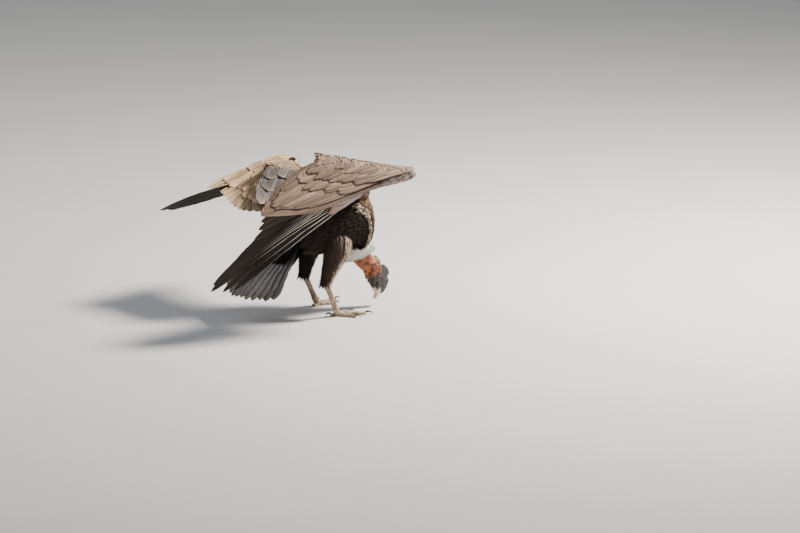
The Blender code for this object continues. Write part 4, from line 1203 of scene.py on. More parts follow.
# %% [markdown]
# ## The skin of body and limbs
# A voxel remesh melts the trunk, the thighs and the arms into one closed skin, as a sculptor
# joins lumps of clay. It lies a few millimetres inside the coat, so feathers grow out of it. Other
# parts of flesh and horn are made with the same helpers further down.

# %% Forms that are rolled and melted
def rolled(place, around, rings):
    """A closed form from place(along, across): a grid rolled up and welded."""
    bm = bmesh.new()
    bmesh.ops.create_grid(bm, x_segments=around, y_segments=rings, size=0.5)
    flat = np.array([vert.co[:] for vert in bm.verts])
    spots = place(flat[:, 1] + 0.5, flat[:, 0] + 0.5)
    for vert, spot in zip(bm.verts, spots):
        vert.co = spot
    bmesh.ops.remove_doubles(bm, verts=bm.verts, dist=0.00002)
    bmesh.ops.recalc_face_normals(bm, faces=bm.faces)
    if bm.calc_volume(signed=True) < 0.0:
        bmesh.ops.reverse_faces(bm, faces=bm.faces)
    return bm


def melted(forms, voxel, smooth=4):
    """One closed mesh from many closed forms that overlap, in the bird's own frame."""
    heap = bpy.data.meshes.new("heap")
    whole = bmesh.new()
    for form in forms:
        part = bpy.data.meshes.new("part")
        form.to_mesh(part)
        form.free()
        whole.from_mesh(part)
        bpy.data.meshes.remove(part)
    whole.to_mesh(heap)
    whole.free()
    holder = bpy.data.objects.new("heap", heap)
    scene.collection.objects.link(holder)
    remesh = holder.modifiers.new("melt", "REMESH")
    remesh.mode, remesh.voxel_size = "VOXEL", voxel
    if smooth:
        soften = holder.modifiers.new("soften", "SMOOTH")
        soften.iterations, soften.factor = smooth, 0.5
    bpy.context.view_layer.update()
    seen = holder.evaluated_get(bpy.context.evaluated_depsgraph_get())
    mesh = bpy.data.meshes.new_from_object(seen)
    bpy.data.objects.remove(holder)
    return mesh


print("forms can be rolled and melted")

# %% [markdown]
# A finished form is moved point by point along its normals, for folds and seams. Numbers can be
# stored at its points too, which tell a shader where a place is dark, pale or hollow.

# %% Meshes that are moved, poured and marked
def values_of(mesh, name):
    """The places, named co, or the normals of a mesh's points."""
    values = np.empty(len(mesh.vertices) * 3)
    mesh.vertices.foreach_get(name, values)
    return values.reshape(-1, 3)


def moved(mesh, shift=None):
    """Move each point along its normal by shift(places, normals), then to the frame."""
    places, normals = values_of(mesh, "co"), values_of(mesh, "normal")
    if shift is not None:
        places = places + normals * shift(places, normals)[:, None]
    mesh.vertices.foreach_set("co", (places + STEP).astype(np.float32).ravel())
    mesh.update()
    mesh.shade_smooth()
    return mesh


def poured(bm, shift=None):
    """A bmesh made into a mesh, with its points moved."""
    mesh = bpy.data.meshes.new("piece")
    bm.to_mesh(mesh)
    bm.free()
    return moved(mesh, shift)


def mark(mesh, name, value):
    """Store a number at each point of a mesh, worked out from its place on the bird."""
    layer = mesh.attributes.new(name, "FLOAT", "POINT")
    layer.data.foreach_set("value", value(values_of(mesh, "co") - STEP).astype(np.float32))


print("meshes can be poured and marked")

# %% [markdown]
# The skin of the bird is the trunk, both thighs, three rods for the bones of each wing and the web
# between them, all melted together.

# %% Skin of the trunk, the thighs and the arms
SUNK, WEB_THICK, SKIN_VOXEL = -0.006, 0.007, 0.006       # SUNK: how far the skin lies inside the solids


def rod(a, b, thick, thin):
    rows = [(t, blend(thick, thin, t)) for t in (0.0, 0.35, 0.7, 1.0)]
    return rolled(arm_tube(a, b, rows, blunt=0.12), 12, 10)


def web_of(wing):
    """The web of skin before the forearm, thin and closed all round."""
    def place(along, across):
        angle = across * math.tau
        end = from_end(along, 0.12)
        front, back = wing.front(along[:, None]), blend(wing.wrist, wing.elbow, along[:, None])
        wide = (front - back) * 0.5 * (np.cos(angle) * (0.2 + 0.76 * end))[:, None]
        thick = WEB_THICK * rounded(end) * np.sin(angle)
        return (front + back) * 0.5 + wide + wing.web_up * thick[:, None]
    return place


skin_finish = Finish("under_skin", roughness=0.8)
mottle = skin_finish.noise(skin_finish.places(), 60.0)
paint_under = skin_finish.paint(skin_finish.mix(mottle, BROWN_BLACK, (0.03, 0.022, 0.02)))
forms = [rolled(lambda t, a: trunk(t, a, SUNK), 48, 40)]
for side, wing in WINGS.items():
    shoulder, elbow, wrist, hand_end = (np.array(p[side]) for p in (SHOULDER, ELBOW, WRIST, HAND_END))
    forms.append(rolled(lambda t, a: thigh_of(side)(t, a, SUNK), 24, 24))
    forms.append(rod(shoulder, elbow, 0.034, 0.016))
    forms.append(rod(elbow, wrist, 0.017, 0.013))
    forms.append(rod(wrist, hand_end, 0.014, 0.006))
    forms.append(rolled(web_of(wing), 24, 24))
settle(moved(melted(forms, SKIN_VOXEL)), "body_skin", "body", paint_under, "torso", "thigh_right",
       "thigh_left", "upper_arm_right", "upper_arm_left")

# %% [markdown]
# ## The coat of the trunk
# Body feathers are rounded and overlap like tiles, from the neck back to the tail. Their rows are
# staggered, and each leaf keeps to the surface, low at its root and free at its tip. Loose narrow
# ends stand a little further off, so that the outline is soft.

# %% Body coat
def coat_wear(along, across):
    """Brown down the front of the breast and, less, on the belly."""
    front = ease((along - 0.40) / 0.22) * ease((0.54 - np.abs(across - 0.25) * 2.0) / 0.26)
    low = ease((along - 0.80) / 0.15)
    belly = ease((0.5 - np.abs(across - 0.75) * 2.0) / 0.35)
    wear = np.maximum(1.15 * front, 0.5 * low) + 0.4 * belly + jitter(len(along), 0.40) - 0.2
    return np.clip(wear, 0.0, 1.0)


tract = Tract()
clothe(tract, trunk, rows_on(trunk, np.linspace(0.10, 0.985, 36), 0.0165), -0.105,
       (-0.005, 0.0030, 0.0012), 0.0150, 4, 6, last=0.02, wear=coat_wear,
       **{**COAT, **TILE, "camber": 0.25, "fray": 0.10})
tract.done("body_coat", "body", "body")
tract = Tract()
clothe(tract, trunk, rows_on(trunk, np.linspace(0.09, 0.99, 64), 0.0090), -0.085,
       (-0.005, 0.0060, 0.0030), 0.0036, 2, 4, last=0.02, wear=coat_wear,
       **{**COAT, **WISP, "wander": 0.014})
tract.done("body_wisps", "body", "body")

# %% [markdown]
# Down each side of the breast runs a narrow line of pale feathers, from under the wing to the
# ruff. It is a painted highlight along the border of the lit front and the shaded flank, and it
# is clearer on the near side. The feathers are strewn about a curve, not laid in rows.

# %% Painted highlight line down each side of the breast
tract = Tract()
# The pale feathers paint a highlight where the lit breast meets the shaded flank.
for turn, number, palest in ((1.0, 230, 0.95), (-1.0, 140, 0.7)):
    along = rng.uniform(0.50, 0.985, number)
    middle = 0.248 + 0.27 * (along - 0.70) + 0.006 * np.sin(along * 20.0)
    across = 0.25 + turn * (middle + jitter(number, 0.015))
    clothe(tract, trunk, (along, across), -0.085, (-0.003, 0.0075, 0.002), 0.0048, 4, 6, uneven=0.3,
           wander=0.006, widths=0.25, wear=lambda a, c: palest * rng.uniform(0.10, 1.0, len(a)),
           mapped=skin_map, **{**TILE, "pointed": 0.65, "base": 0.40})
tract.done("breast_highlight", "body", "trousers")

# %% [markdown]
# ## Trousers
# Long loose feathers hang from the thighs past the heel, and their ends part into points. A pale
# fringe runs down the front of the near thigh.

# %% Trousers
FRINGE_AT = 0.35     # the turn round the near thigh where the pale fringe runs
THIGH_END = 0.92     # from here the sheet hangs straight down


def leg_sheet_of(side):
    """The thigh's surface, which hangs on straight down past the heel."""
    thigh = thigh_of(side)
    down = np.array(HEEL[side]) - np.array(KNEE[side])

    def place(along, across, lift=0.0):
        along, across, lift = np.broadcast_arrays(along, across, lift)
        return thigh(np.clip(along, 0.0, THIGH_END), across, lift) \
            + down * np.maximum(along - THIGH_END, 0.0)[..., None] * 0.8

    return place


def near_fringe(along, across):
    front = ease((np.cos((across - FRINGE_AT) * math.tau) - 0.50) / 0.35)
    return np.clip(front + jitter(len(along), 0.2) - 0.1, 0.0, 1.0)


def far_fringe(along, across):
    return np.clip(0.2 + jitter(len(along), 0.2) - 0.1, 0.0, 1.0)


for side in SIDES:
    sheet, wear = leg_sheet_of(side), near_fringe if side == NEAR else far_fringe
    tract = Tract()
    clothe(tract, sheet, rows_on(sheet, np.linspace(0.0, 0.72, 19), 0.0105), 0.20,
           (-0.005, 0.0030, 0.0015), 0.0105, 4, 6, last=0.90, wear=wear,
           **{**COAT, **TILE, "pointed": 0.55, "camber": 0.25})
    clothe(tract, sheet, rows_on(sheet, np.linspace(0.0, THIGH_END, 48), 0.0070), 0.24,
           (-0.005, 0.0060, 0.0040), 0.0030, 2, 4, last=1.30, wear=wear,
           **{**COAT, **WISP, "uneven": 0.45, "wander": 0.03, "pointed": 0.85})
    tract.done("trousers_" + side, "body", "trousers" if side == NEAR else "body")

# %% [markdown]
# ## Head and neck
# The head and neck are bare: thick skin, orange-brown in old males, with deep folds across the
# nape, lids like a ring, an open ear and lobes on the throat. The lumps are melted together and
# the skin is then moved in and out along its normals by a few wrinkle patterns. Places on it are
# told by how far they lie forward, towards the bill's tip, and up, towards the crown.

# %% Forms of the head
SKULL = ((-0.045, -0.004, 0.024, 0.024, 0.026), (-0.028, 0.000, 0.029, 0.028, 0.028),
         (-0.005, 0.003, 0.029, 0.027, 0.026), (0.018, 0.003, 0.023, 0.022, 0.023),
         (0.036, 0.002, 0.017, 0.018, 0.017))
EAR_FORWARD, EAR_UP, EAR_OUT = -0.021, -0.004, 0.0275
HEAD_RINGS = (      # forward, up, to the side, radius, thickness, how tall for its width
    (EYE_FORWARD, EYE_UP, EYE_OUT + 0.0045, 0.0082, 0.0023, 0.85),
    (EYE_FORWARD, EYE_UP, EYE_OUT + 0.0010, 0.0100, 0.0030, 0.90),
    (EAR_FORWARD, EAR_UP, EAR_OUT - 0.0010, 0.0056, 0.0020, 1.0),
)
HEAD_LUMPS = (      # forward, up, to the side, half its length forward, to the side and up
    (0.010, 0.022, 0.015, (0.017, 0.007, 0.006)),       # brow
    (-0.012, -0.014, 0.021, (0.018, 0.008, 0.010)),     # cheek
    (0.024, -0.012, 0.011, (0.014, 0.007, 0.007)),      # corner of the mouth
)
THROAT_LOBES = (    # forward, up, size
    (0.020, -0.022, 0.010), (0.002, -0.029, 0.012), (-0.016, -0.032, 0.0125),
    (-0.036, -0.033, 0.0105), (0.034, -0.018, 0.0065),
)
HEAD_VOXEL = 0.00135
BILL_UPPER = ((0.030, 0.006, 0.0160, 0.0150, 0.0120), (0.050, 0.007, 0.0135, 0.0140, 0.0135),
              (0.068, 0.006, 0.0110, 0.0125, 0.0125), (0.082, 0.000, 0.0085, 0.0100, 0.0095),
              (0.0890, -0.009, 0.0055, 0.0060, 0.0055), (0.0895, -0.017, 0.0016, 0.0018, 0.0018))
BILL_LOWER = ((0.028, -0.010, 0.0140, 0.0060, 0.0070), (0.046, -0.0090, 0.0115, 0.0055, 0.0060),
              (0.058, -0.0075, 0.0085, 0.0050, 0.0045), (0.0660, -0.0055, 0.0040, 0.0030, 0.0030))


def head_limb(rows, blunt=0.16):
    """A tube along the head through rows of forward, up, half width, reach up and reach down."""
    return Limb([(*on_head(forward, up), wide, high, low) for forward, up, wide, high, low in rows],
                blunt=blunt)


def ball(forward, up, left, size, detail=3):
    """A rounded lump on the head. size: half its length forward, left and up."""
    bm = bmesh.new()
    bmesh.ops.create_icosphere(bm, subdivisions=detail, radius=1.0)
    for vert in bm.verts:
        vert.co = on_head(forward + vert.co.x * size[0], up + vert.co.z * size[2],
                          left + vert.co.y * size[1])
    return bm


def hoop(forward, up, left, radius, thick, tall=1.0):
    """A ring of skin round an opening in the side of the head."""
    side = math.copysign(1.0, left)
    bm = bmesh.new()
    bmesh.ops.create_grid(bm, x_segments=32, y_segments=12, size=0.5)
    for vert in bm.verts:
        turn, roll = (vert.co.x + 0.5) * math.tau, (vert.co.y + 0.5) * math.tau
        away = radius + thick * math.cos(roll)
        vert.co = on_head(forward + math.cos(turn) * away, up + math.sin(turn) * away * tall,
                          left + side * thick * math.sin(roll))
    bmesh.ops.remove_doubles(bm, verts=bm.verts, dist=0.00002)
    bmesh.ops.recalc_face_normals(bm, faces=bm.faces)
    return bm


forms = [rolled(head_limb(SKULL), 64, 48), rolled(lambda t, a: neck(t, a, -0.001), 64, 60)]
for turn in (1.0, -1.0):
    forms += [hoop(forward, up, turn * out, *more) for forward, up, out, *more in HEAD_RINGS]
    forms += [ball(forward, up, turn * out, size) for forward, up, out, size in HEAD_LUMPS]
forms += [ball(forward, up, 0.0, (size, size * 0.72, size)) for forward, up, size in THROAT_LOBES]
forms.append(ball(-0.040, 0.010, 0.0, (0.026, 0.024, 0.020)))                     # back of the crown
head_mesh = melted(forms, HEAD_VOXEL, 6)
print("melted head and neck:", len(head_mesh.vertices), "points")

# %% [markdown]
# The wrinkles are sums of waves and noise, each kept to its own part: folds run round the neck,
# rings round the eye and creases over the head, the lobes are lumpy, and fine pebbles lie
# everywhere. The ear and the mouth are pressed in.

# %% Wrinkles
def noise_at(places, scale, stretch=(1.0, 1.0, 1.0), seed=0.0):
    scaled = places * np.array(stretch) * scale + seed
    return np.array([noise.noise(Vector(spot)) for spot in scaled])


def from_mouth(forward, up):
    """How far above or below the line of the mouth a place lies."""
    return np.abs(up + 0.0045 + 0.10 * (forward - 0.03))


def from_eye(forward, up):
    return np.hypot(forward - EYE_FORWARD, (up - EYE_UP) / 0.88)


NECK_WAY = unit(NECK_TO - NECK_FROM)


def wrinkled(places, normals):
    forward, up, left = from_head(places)
    down_neck = (places - NECK_FROM) @ NECK_WAY
    on_neck = ease((0.115 - down_neck) / 0.03)
    wobble = noise_at(places, 45.0) * 0.9 + noise_at(places, 110.0, seed=3.0) * 0.35
    folds = np.sin((down_neck * 105.0 + wobble * 1.2 + up * 16.0) * math.tau * 0.9)
    folds = 0.6 - (1.0 - np.abs(folds)) ** 1.5 * 1.6
    shift = on_neck * folds * blend(0.0010, 0.0022, ease((up + 0.01) / 0.03))
    ring = from_eye(forward, up)
    near_eye = ease((0.026 - ring) / 0.012) * ease((np.abs(left) - 0.012) / 0.006)
    shift += near_eye * np.sin(ring * 1500.0 + wobble * 2.0) * 0.00030
    creases = np.abs(noise_at(places, 130.0, (1.0, 1.0, 0.6), 9.0))
    shift -= (1.0 - on_neck) * (0.18 - np.minimum(creases, 0.18)) * 0.0085
    shift += noise_at(places, 420.0, seed=5.0) * 0.00030 * (0.4 + on_neck)
    lobes = ease((-up - 0.016) / 0.012) * ease((forward + 0.06) / 0.02)
    shift += lobes * np.abs(noise_at(places, 190.0, seed=17.0)) * 0.0022
    for turn in (1.0, -1.0):
        ear = on_head(EAR_FORWARD, EAR_UP, turn * EAR_OUT)
        shift -= 0.0045 * ease(1.0 - np.linalg.norm(places - ear, axis=1) / 0.0050)
    mouth = ease(1.0 - from_mouth(forward, up) / 0.0016)
    return shift - mouth * ease((forward - 0.012) / 0.006) * 0.0020


moved(head_mesh, wrinkled)
print("wrinkled skin:", len(head_mesh.polygons), "faces")

# %% [markdown]
# The skin's colours are patchy. Orange-brown blotches turn dark towards the face, the crown and
# behind the eye, and straw yellow along the nape. The mouth line, the ear and the lids are painted
# nearly black as shade in those hollows.
# Where these places are is worked out on the mesh and stored there as numbers from 0 to 1.

# %% Colours of the head
def dark_face(places):
    """Darker towards the bill and the crown, as in old males, and in a band behind the eye."""
    forward, up, _ = from_head(places)
    band = ease(1.0 - np.abs(up - 0.008 + forward * 0.06) / 0.017) * ease((0.020 - forward) / 0.030)
    return np.clip(np.maximum(0.58 + forward * 13.0 + up * 5.0, 0.60 * band), 0.0, 1.0)


def straw_nape(places):
    """1 along the nape, where the skin is pale, and 0 from the sides of the neck to the throat."""
    share = (places - NECK_FROM) @ NECK_WAY / math.dist(NECK_FROM, NECK_TO)
    middle = curve(NECK, share)[:, :3]
    front = (places - middle) @ HEAD_TO_CROWN / 0.033
    return ease((front - 0.12) / 0.7) * ease((1.25 - share) / 0.4)


def shaded_hollows(places):
    """1 in the mouth line, the ear and under the lids, which are painted dark as shade in hollows."""
    forward, up, _ = from_head(places)
    ear = ease(1.0 - np.hypot(forward - EAR_FORWARD, up - EAR_UP) / 0.0050)
    lid = ease(1.0 - np.abs(from_eye(forward, up) - 0.0062) / 0.0016)
    mouth = ease(1.0 - from_mouth(forward, up) / 0.0014) * ease((forward - 0.010) / 0.006)
    return np.maximum(np.maximum(ear, lid * 0.9), mouth)


DARK_ORANGE, ORANGE, STRAW = (0.075, 0.018, 0.010), (0.42, 0.120, 0.034), (0.52, 0.385, 0.215)
DARK_SKIN, DRY_SKIN, HOLLOW_SHADE = (0.034, 0.021, 0.017), (0.46, 0.32, 0.23), (0.055, 0.022, 0.016)
head_finish = Finish("bare_skin", roughness=0.50)
places = head_finish.places()
blotches = head_finish.noise(places, 55.0, 4.0, 0.6)
grain = head_finish.noise(places, 420.0, 3.0, 0.6)
pores = head_finish.cells(places, 700.0)
darkness = head_finish.attribute("worn")
straw = head_finish.attribute("layer")
skin = head_finish.mix(blotches.rise(0.36, 0.62), DARK_ORANGE, ORANGE)
skin = head_finish.mix((straw * 1.1 + (blotches - 0.5) * 1.4).rise(0.25, 0.85), skin, STRAW)
skin = head_finish.mix((darkness + (blotches - 0.5) * 0.6).rise(0.25, 0.75), skin, DARK_SKIN)
skin = head_finish.mix(grain.rise(0.60, 0.78) * 0.4, skin, DRY_SKIN)
# Painted shade: the mouth line, the ear and the skin under the lids are darkened as if shadowed.
skin = head_finish.mix(head_finish.attribute("tone").rise(0.3, 1.0) * 0.85, skin, HOLLOW_SHADE)
paint_head = head_finish.paint(skin, 0.40 + grain * 0.25, grain + pores * 0.6, 0.0007, 0.55)
settle(head_mesh, "head_skin", "skin", paint_head, "head", "neck")
mark(head_mesh, "worn", dark_face)
# tone here carries where the painted shade of the hollows goes.
mark(head_mesh, "tone", shaded_hollows)
mark(head_mesh, "layer", straw_nape)

# %% [markdown]
# ## Comb
# Only the male has a comb. It is a thick plate of dark grey flesh over brow and bill, notched
# along its upper edge, wrinkled from side to side and paler along its free rim.

# %% Comb
COMB_FROM, COMB_LONG, COMB_THICK = -0.026, 0.108, 0.0085


def comb_foot(t):
    """How far above the middle of the head the comb starts."""
    return 0.030 - 0.012 * t


def comb_tall(t):
    """How far the comb stands up: two lobes with a notch between them."""
    notch = 1.0 - 0.20 * np.exp(-((t - 0.50) / 0.055) ** 2) + 0.03 * np.sin(t * 40.0)
    return (0.012 + 0.040 * np.maximum(np.sin(math.pi * t ** 0.85), 0.0) ** 0.7) * notch


def comb_place(along, across):
    t = np.clip(along, 0.0, 1.0)
    angle = across * math.tau
    rise = np.sin(angle)
    thick = COMB_THICK * np.maximum(np.sin(math.pi * t), 0.0) ** 0.35
    up = comb_foot(t) + comb_tall(t) * rise * np.where(rise < 0, 0.5, 0.85)
    left = thick * np.cos(angle) * (1.0 - 0.35 * np.maximum(rise, 0.0))
    left = left + 0.0022 * np.sin(t * 9.0 + up * 60.0) * np.maximum(rise, 0.0) * np.sin(math.pi * t)
    return on_head(COMB_FROM + COMB_LONG * t, up, left)


def comb_rim(places):
    """1 along the free edge of the comb."""
    forward, up, _ = from_head(places)
    t = np.clip((forward - COMB_FROM) / COMB_LONG, 0.0, 1.0)
    high = comb_foot(t) + comb_tall(t) * 0.85
    return ease((up - high + 0.0060) / 0.004)


def comb_folds(places, normals):
    folds = np.abs(noise_at(places, 110.0, (1.0, 1.0, 1.6)))
    folds = folds + 0.5 * np.abs(noise_at(places, 260.0, seed=4.0))
    return -(0.30 - np.minimum(folds, 0.30)) * 0.0065 + noise_at(places, 480.0, seed=8.0) * 0.0006


FLESH_DARK, FLESH_GREY = (0.018, 0.015, 0.016), (0.062, 0.052, 0.050)
FLESH_DRY, FLESH_RIM = (0.14, 0.12, 0.11), (0.30, 0.275, 0.250)
comb_finish = Finish("comb", roughness=0.55)
places = comb_finish.places()
blotches = comb_finish.noise(places, 70.0, 4.0)
grain = comb_finish.noise(places, 500.0, 3.0)
flesh = comb_finish.mix(blotches.rise(0.35, 0.65), FLESH_DARK, FLESH_GREY)
flesh = comb_finish.mix(grain.rise(0.60, 0.80) * 0.4, flesh, FLESH_DRY)
rim = comb_finish.attribute("tone") * (0.4 + blotches * 0.8)
flesh = comb_finish.mix(rim.rise(0.10, 0.8), flesh, FLESH_RIM)
pores = comb_finish.cells(places, 650.0)
paint_comb = comb_finish.paint(flesh, 0.42 + grain * 0.25, grain + pores * 0.5, 0.0007, 0.5)
comb = poured(rolled(comb_place, 96, 90), comb_folds)
settle(comb, "comb", "comb", paint_comb, "comb")
mark(comb, "tone", comb_rim)

# %% [markdown]
# ## Bill
# The bill is horn: dark at its base and ivory from the middle on, with a strong hook and a slit
# of a nostril. It is made as a tube with a fine grid, into which the nostrils are pressed and then
# painted dark as shade.

# %% Bill
NOSTRIL_FORWARD, NOSTRIL_UP, NOSTRIL_OUT = 0.044, 0.013, 0.0118
DARK_TO = {"bill_upper": 0.048, "bill_lower": 0.040}       # how far forward the horn is dark


def nostrils(places, normals):
    shift = np.zeros(len(places))
    for turn in (1.0, -1.0):
        away = places - on_head(NOSTRIL_FORWARD, NOSTRIL_UP, turn * NOSTRIL_OUT)
        along, high = away @ HEAD_TO_BILL, away @ HEAD_TO_CROWN
        aside = np.abs(away @ HEAD_TO_LEFT)
        shift -= 0.0032 * ease(1.0 - np.hypot(along / 0.0058, high / 0.0024)) * (aside < 0.006)
    base = ease((0.056 - from_head(places)[0]) / 0.004)
    return shift + base * 0.0007 + noise_at(places, 160.0, (1.0, 1.0, 0.3)) * 0.0003


HORN, IVORY = (0.56, 0.44, 0.28), (0.80, 0.73, 0.58)
HORN_BASE, NOSTRIL_SHADE = (0.026, 0.019, 0.016), (0.015, 0.010, 0.009)
bill_finish = Finish("bill", roughness=0.32)
growth = bill_finish.noise(bill_finish.places((1.0, 1.0, 0.25)), 260.0, 4.0)
base = bill_finish.attribute("worn")
horn = bill_finish.mix(growth.rise(0.35, 0.68), HORN, IVORY)
horn = bill_finish.mix((base + (growth - 0.5) * 0.9).rise(0.20, 0.85), horn, HORN_BASE)
# Painted shade: the pressed-in nostril is darkened as if shadowed.
horn = bill_finish.mix(bill_finish.attribute("tone"), horn, NOSTRIL_SHADE)
paint_bill = bill_finish.paint(horn, 0.28 + growth * 0.2 + base * 0.24, growth, 0.0006, 0.5)


# Where the painted shade of the nostril lies.
def nostril_shade(places):
    forward, up, _ = from_head(places)
    return ease(1.35 - np.hypot((forward - NOSTRIL_FORWARD) / 0.0050, (up - NOSTRIL_UP) / 0.0020))


for name, rows, around, count in (("bill_upper", BILL_UPPER, 72, 72), ("bill_lower", BILL_LOWER, 48, 40)):
    part = poured(rolled(head_limb(rows), around, count), nostrils)
    settle(part, name, "bill", paint_bill, name)
    mark(part, "worn", lambda spots: np.clip(1.0 - (from_head(spots)[0] - DARK_TO[name]) / 0.024, 0.0, 1.0))
    mark(part, "tone", nostril_shade)

# %% [markdown]
# ## Eyes
# An old male's iris is brown. The wet clear front is the shader's coat. Each point of the ball
# stores how far it lies from the eye's own axis, and by that the pupil and the iris are coloured.

# %% Eyes
IRIS, IRIS_RIM, PUPIL = (0.115, 0.042, 0.020), (0.050, 0.018, 0.010), (0.003, 0.003, 0.003)
eye_finish = Finish("eye", roughness=0.12, Coat_Weight=1.0, Coat_Roughness=0.03)
away = eye_finish.attribute("tone")
flecks = eye_finish.noise(eye_finish.places(), 900.0)
iris = eye_finish.mix((away + flecks * 0.2).rise(0.50, 0.75), IRIS, IRIS_RIM)
iris = eye_finish.mix(away.rise(0.36, 0.28), iris, PUPIL)
paint_eye = eye_finish.paint(iris)
for turn, side in ((1.0, "left"), (-1.0, "right")):
    part = poured(ball(EYE_FORWARD, EYE_UP, turn * EYE_OUT, (EYE_RADIUS,) * 3, 5))
    settle(part, "eye_" + side, "eye", paint_eye, "eye_" + side)
    middle = on_head(EYE_FORWARD, EYE_UP, turn * EYE_OUT)
    mark(part, "tone", lambda spots: np.hypot((spots - middle) @ HEAD_TO_BILL,
                                              (spots - middle) @ HEAD_TO_CROWN) / EYE_RADIUS)

# %% [markdown]
# ## Ruff
# A collar of white down closes the coat above the bare neck. It is a thick ring of skin under
# some thousands of small curled tufts that turn back towards the body.

# %% Ruff
RUFF_AT, RUFF_RADIUS, RUFF_CORE, RUFF_DEEP = 0.28, 0.047, 0.013, 0.019
RUFF_ROWS, TUFTS_A_ROW = 15, 230
RUFF_MIDDLE = curve(NECK, RUFF_AT)[:3]
RUFF_WAY = unit(curve(NECK, 0.3)[:3] - curve(NECK, 0.0)[:3])
RUFF_LEFT = unit(HEAD_TO_LEFT - RUFF_WAY * RUFF_WAY[1])
RUFF_FRONT = np.cross(RUFF_WAY, RUFF_LEFT)


def ruff_place(along, across, lift=0.0):
    """across: round the neck. along: round the roll of the collar, 0 outside, 0.25 at the head."""
    along, across, lift = np.broadcast_arrays(along, across, lift)
    around, roll = (across * math.tau)[..., None], (along * math.tau)[..., None]
    out = RUFF_LEFT * np.cos(around) + RUFF_FRONT * np.sin(around)
    g = lift[..., None]
    return RUFF_MIDDLE + out * (RUFF_RADIUS + (RUFF_CORE + g) * np.cos(roll)) \
        + RUFF_WAY * ((RUFF_DEEP + g) * np.sin(roll))


def ruff_map(along, across):
    return np.stack((0.02 + 0.96 * across % 1.0, 0.5 + 0.4 * along), axis=1)


ruff_core = poured(rolled(lambda t, a: ruff_place(a, t, -0.003), 24, 64))
settle(ruff_core, "ruff_core", "ruff", PAINT["down"], "ruff")
tract = Tract()
for k in range(RUFF_ROWS):
    s = (np.arange(TUFTS_A_ROW) + 0.5 * (k % 2)) / TUFTS_A_ROW + jitter(TUFTS_A_ROW, 0.001)
    start = 0.40 - 0.046 * k + jitter(TUFTS_A_ROW, 0.02)
    clothe(tract, ruff_place, (start, s), -0.25, (-0.004, 0.009, 0.006), 0.0025, 2, 4, uneven=0.3,
           wander=0.022, widths=0.35, mapped=ruff_map, pointed=0.80, base=0.6)
clothe(tract, trunk, rows_on(trunk, np.linspace(0.92, 0.995, 10), 0.0060), -0.045,
       (-0.005, 0.0120, 0.0040), 0.0027, 2, 4, **{**COAT, "wander": 0.012}, pointed=0.80, base=0.6)
tract.done("ruff_down", "ruff", "down")

# %% [markdown]
# ## Legs and feet
# Shank and toes are covered with small scales, and broad plates lie across the front of the shank
# and the tops of the toes. One remesh melts a tube for the shank with one for each toe.

# %% Toes and shanks
def toe_of(side, toe):
    angle, long, wide, _ = TOES[toe]
    hand = 1.0 if side == "left" else -1.0
    turn = math.radians(FOOT_TURN[side]) - hand * math.radians(angle)
    way = np.array((math.cos(turn), math.sin(turn), 0.0))
    across = np.array((-way[1], way[0], 0.0))
    sole = np.array(SOLE[side])

    def place(t, a):
        slim = 1.0 - 0.35 * t
        knuckle = 1.0 + 0.12 * np.cos(t * math.tau * 3.0)
        reach = wide * slim * knuckle * rounded(from_end(t, 0.12))
        angle = (a * math.tau)[..., None]
        high = TOE_HEIGHT * slim * 0.62
        return (sole + way * (long * t - 0.006)[..., None] + across * (np.cos(angle) * reach[..., None])
                + np.array((0.0, 0.0, 1.0)) * (high[..., None] + np.sin(angle) * reach[..., None] * 0.95))

    return place, way


def shank_of(side):
    heel, ankle = np.array(HEEL[side]), np.array(SOLE[side]) + (0.0, 0.0, 0.005)
    rows = [(*blend(heel, ankle, -0.12), 0.0120, 0.0120, 0.0140), (*heel, 0.0125, 0.0125, 0.0150),
            (*blend(heel, ankle, 0.2), 0.0105, 0.0105, 0.0115),
            (*blend(heel, ankle, 0.6), 0.0100, 0.0100, 0.0105), (*ankle, 0.0150, 0.0140, 0.0140)]
    return Limb(rows)


print("middle toe of the near foot points", toe_of(NEAR, "middle")[1].round(2))

# %% [markdown]
# Seams lie at even distances down the front of the shank, and along each toe, whose own direction
# is found by the toe that a place is nearest to. The rest of the skin has small round scales.

# %% Plates and scales
PLATE_SHANK, PLATE_TOE, PLATE_DEEP = 0.0072, 0.0062, 0.0011


def scaled(side):
    """Plates and small scales, by seams that are pressed into the skin between them."""
    heel, sole = np.array(HEEL[side]), np.array(SOLE[side])

    def plates(distance, spacing):
        """How deep the seams between plates are pressed in."""
        return PLATE_DEEP * (1.0 - np.abs(np.sin(distance * math.pi / spacing)) ** 0.35)

    def shift(places, normals):
        on_shank = ease((places[:, 2] - 0.024) / 0.012)
        front = ease((normals[:, 0] + 0.1) / 0.5)
        top = ease((normals[:, 2] - 0.1) / 0.4) * (1.0 - on_shank)
        offset = places - sole
        nearest = np.full(len(places), -1e9)
        along = np.zeros(len(places))
        for toe in TOES:
            way = toe_of(side, toe)[1]
            reach = offset @ way - np.abs(offset @ np.cross(way, (0.0, 0.0, 1.0))) * 1.5
            along = np.where(reach > nearest, offset @ way, along)
            nearest = np.maximum(nearest, reach)
        pebbles = 0.2 - np.minimum(np.abs(noise_at(places, 210.0)), 0.2)
        deep = on_shank * front * plates((heel - places)[:, 2], PLATE_SHANK)
        deep += on_shank * (1.0 - front) * pebbles * 0.0055
        deep += top * plates(along, PLATE_TOE)
        deep += (1.0 - top) * (1.0 - on_shank) * pebbles * 0.0045
        return -deep * np.minimum(places[:, 2] / 0.003, 1.0)

    return shift


print("plates lie", PLATE_SHANK, "m apart on the shank and", PLATE_TOE, "m on the toes")

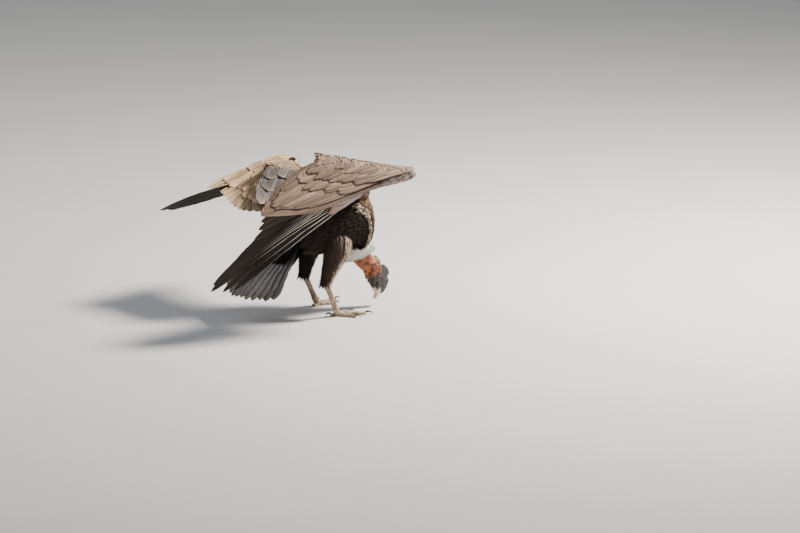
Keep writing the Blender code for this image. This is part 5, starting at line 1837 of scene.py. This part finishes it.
# %% [markdown]
# The soles are cut flat just above the ground, where the bird's weight would press them. The skin
# is brown to tan, darker between the scales and paler where it is dusty.

# %% Legs
LEG_VOXEL, GROUND = 0.0013, 0.0001
LEG_DARK, LEG_LIGHT = (0.225, 0.140, 0.082), (0.45, 0.335, 0.225)
LEG_SEAM, LEG_DUST = (0.12, 0.075, 0.048), (0.62, 0.54, 0.43)
leg_finish = Finish("leg", roughness=0.6)
places = leg_finish.places()
blotches = leg_finish.noise(places, 60.0, 4.0)
scales = leg_finish.cells(leg_finish.places((1.0, 1.0, 0.8)), 330.0)
dust = leg_finish.noise(places, 240.0, 3.0)
horn = leg_finish.mix(blotches.rise(0.35, 0.65), LEG_DARK, LEG_LIGHT)
horn = leg_finish.mix(scales.rise(0.45, 0.85) * 0.6, horn, LEG_SEAM)
horn = leg_finish.mix(dust.rise(0.58, 0.78) * 0.5, horn, LEG_DUST)
paint_leg = leg_finish.paint(horn, 0.50 + dust * 0.25, 1.0 - scales + dust * 0.5, 0.0008, 0.5)
for side in SIDES:
    forms = [rolled(shank_of(side), 32, 40)]
    forms += [rolled(toe_of(side, toe)[0], 24, 32) for toe in TOES]
    bm = bmesh.new()
    bm.from_mesh(melted(forms, LEG_VOXEL, 3))
    bmesh.ops.bisect_plane(bm, geom=bm.verts[:] + bm.edges[:] + bm.faces[:], dist=1e-6,
                           plane_co=(0, 0, GROUND), plane_no=(0, 0, -1), clear_outer=True)
    bmesh.ops.holes_fill(bm, edges=[edge for edge in bm.edges if edge.is_boundary], sides=0)
    settle(poured(bm, scaled(side)), "leg_" + side, "leg", paint_leg, "shank_" + side, "foot_" + side)

# %% [markdown]
# ## Claws
# The claws are blunt and little curved, since this bird walks more than it grasps. Each is a
# tube through four stations, from inside the toe to a point near the ground.

# %% Claws
CLAW_DARK, CLAW_WORN = (0.022, 0.018, 0.016), (0.11, 0.090, 0.075)
claw_finish = Finish("claw", roughness=0.35)
grain = claw_finish.noise(claw_finish.places(), 300.0, 3.0)
horn = claw_finish.mix(grain.rise(0.35, 0.70), CLAW_DARK, CLAW_WORN)
paint_claw = claw_finish.paint(horn, 0.26 + grain * 0.25, grain, 0.0004, 0.4)
for side in SIDES:
    for toe, (_, long, _, nail) in TOES.items():
        way = toe_of(side, toe)[1]
        start = np.array(SOLE[side]) + way * (long - 0.010) + (0.0, 0.0, 0.0095)
        rows = [(*start, 0.0040, 0.0042, 0.0042),
                (*(start + way * nail * 0.45 + (0, 0, 0.0020)), 0.0034, 0.0036, 0.0034),
                (*(start + way * nail * 0.85 + (0, 0, -0.0022)), 0.0020, 0.0020, 0.0020),
                (*(start + way * nail * 1.02 + (0, 0, -0.0072)), 0.0007, 0.0007, 0.0007)]
        name = "claw_" + toe + "_" + side
        settle(poured(rolled(Limb(rows), 20, 24)), name, "claw", paint_claw, name)

# %% [markdown]
# ## Last measures
# The dressed bird must fill the same box as the solids, so the sizes of both boxes are printed.

# %% Print the sizes of both boxes
new_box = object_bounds()
for label, box in (("solids", cad_box), ("dressed", new_box)):
    print(label, [round(box[1][k] - box[0][k], 4) for k in range(3)])
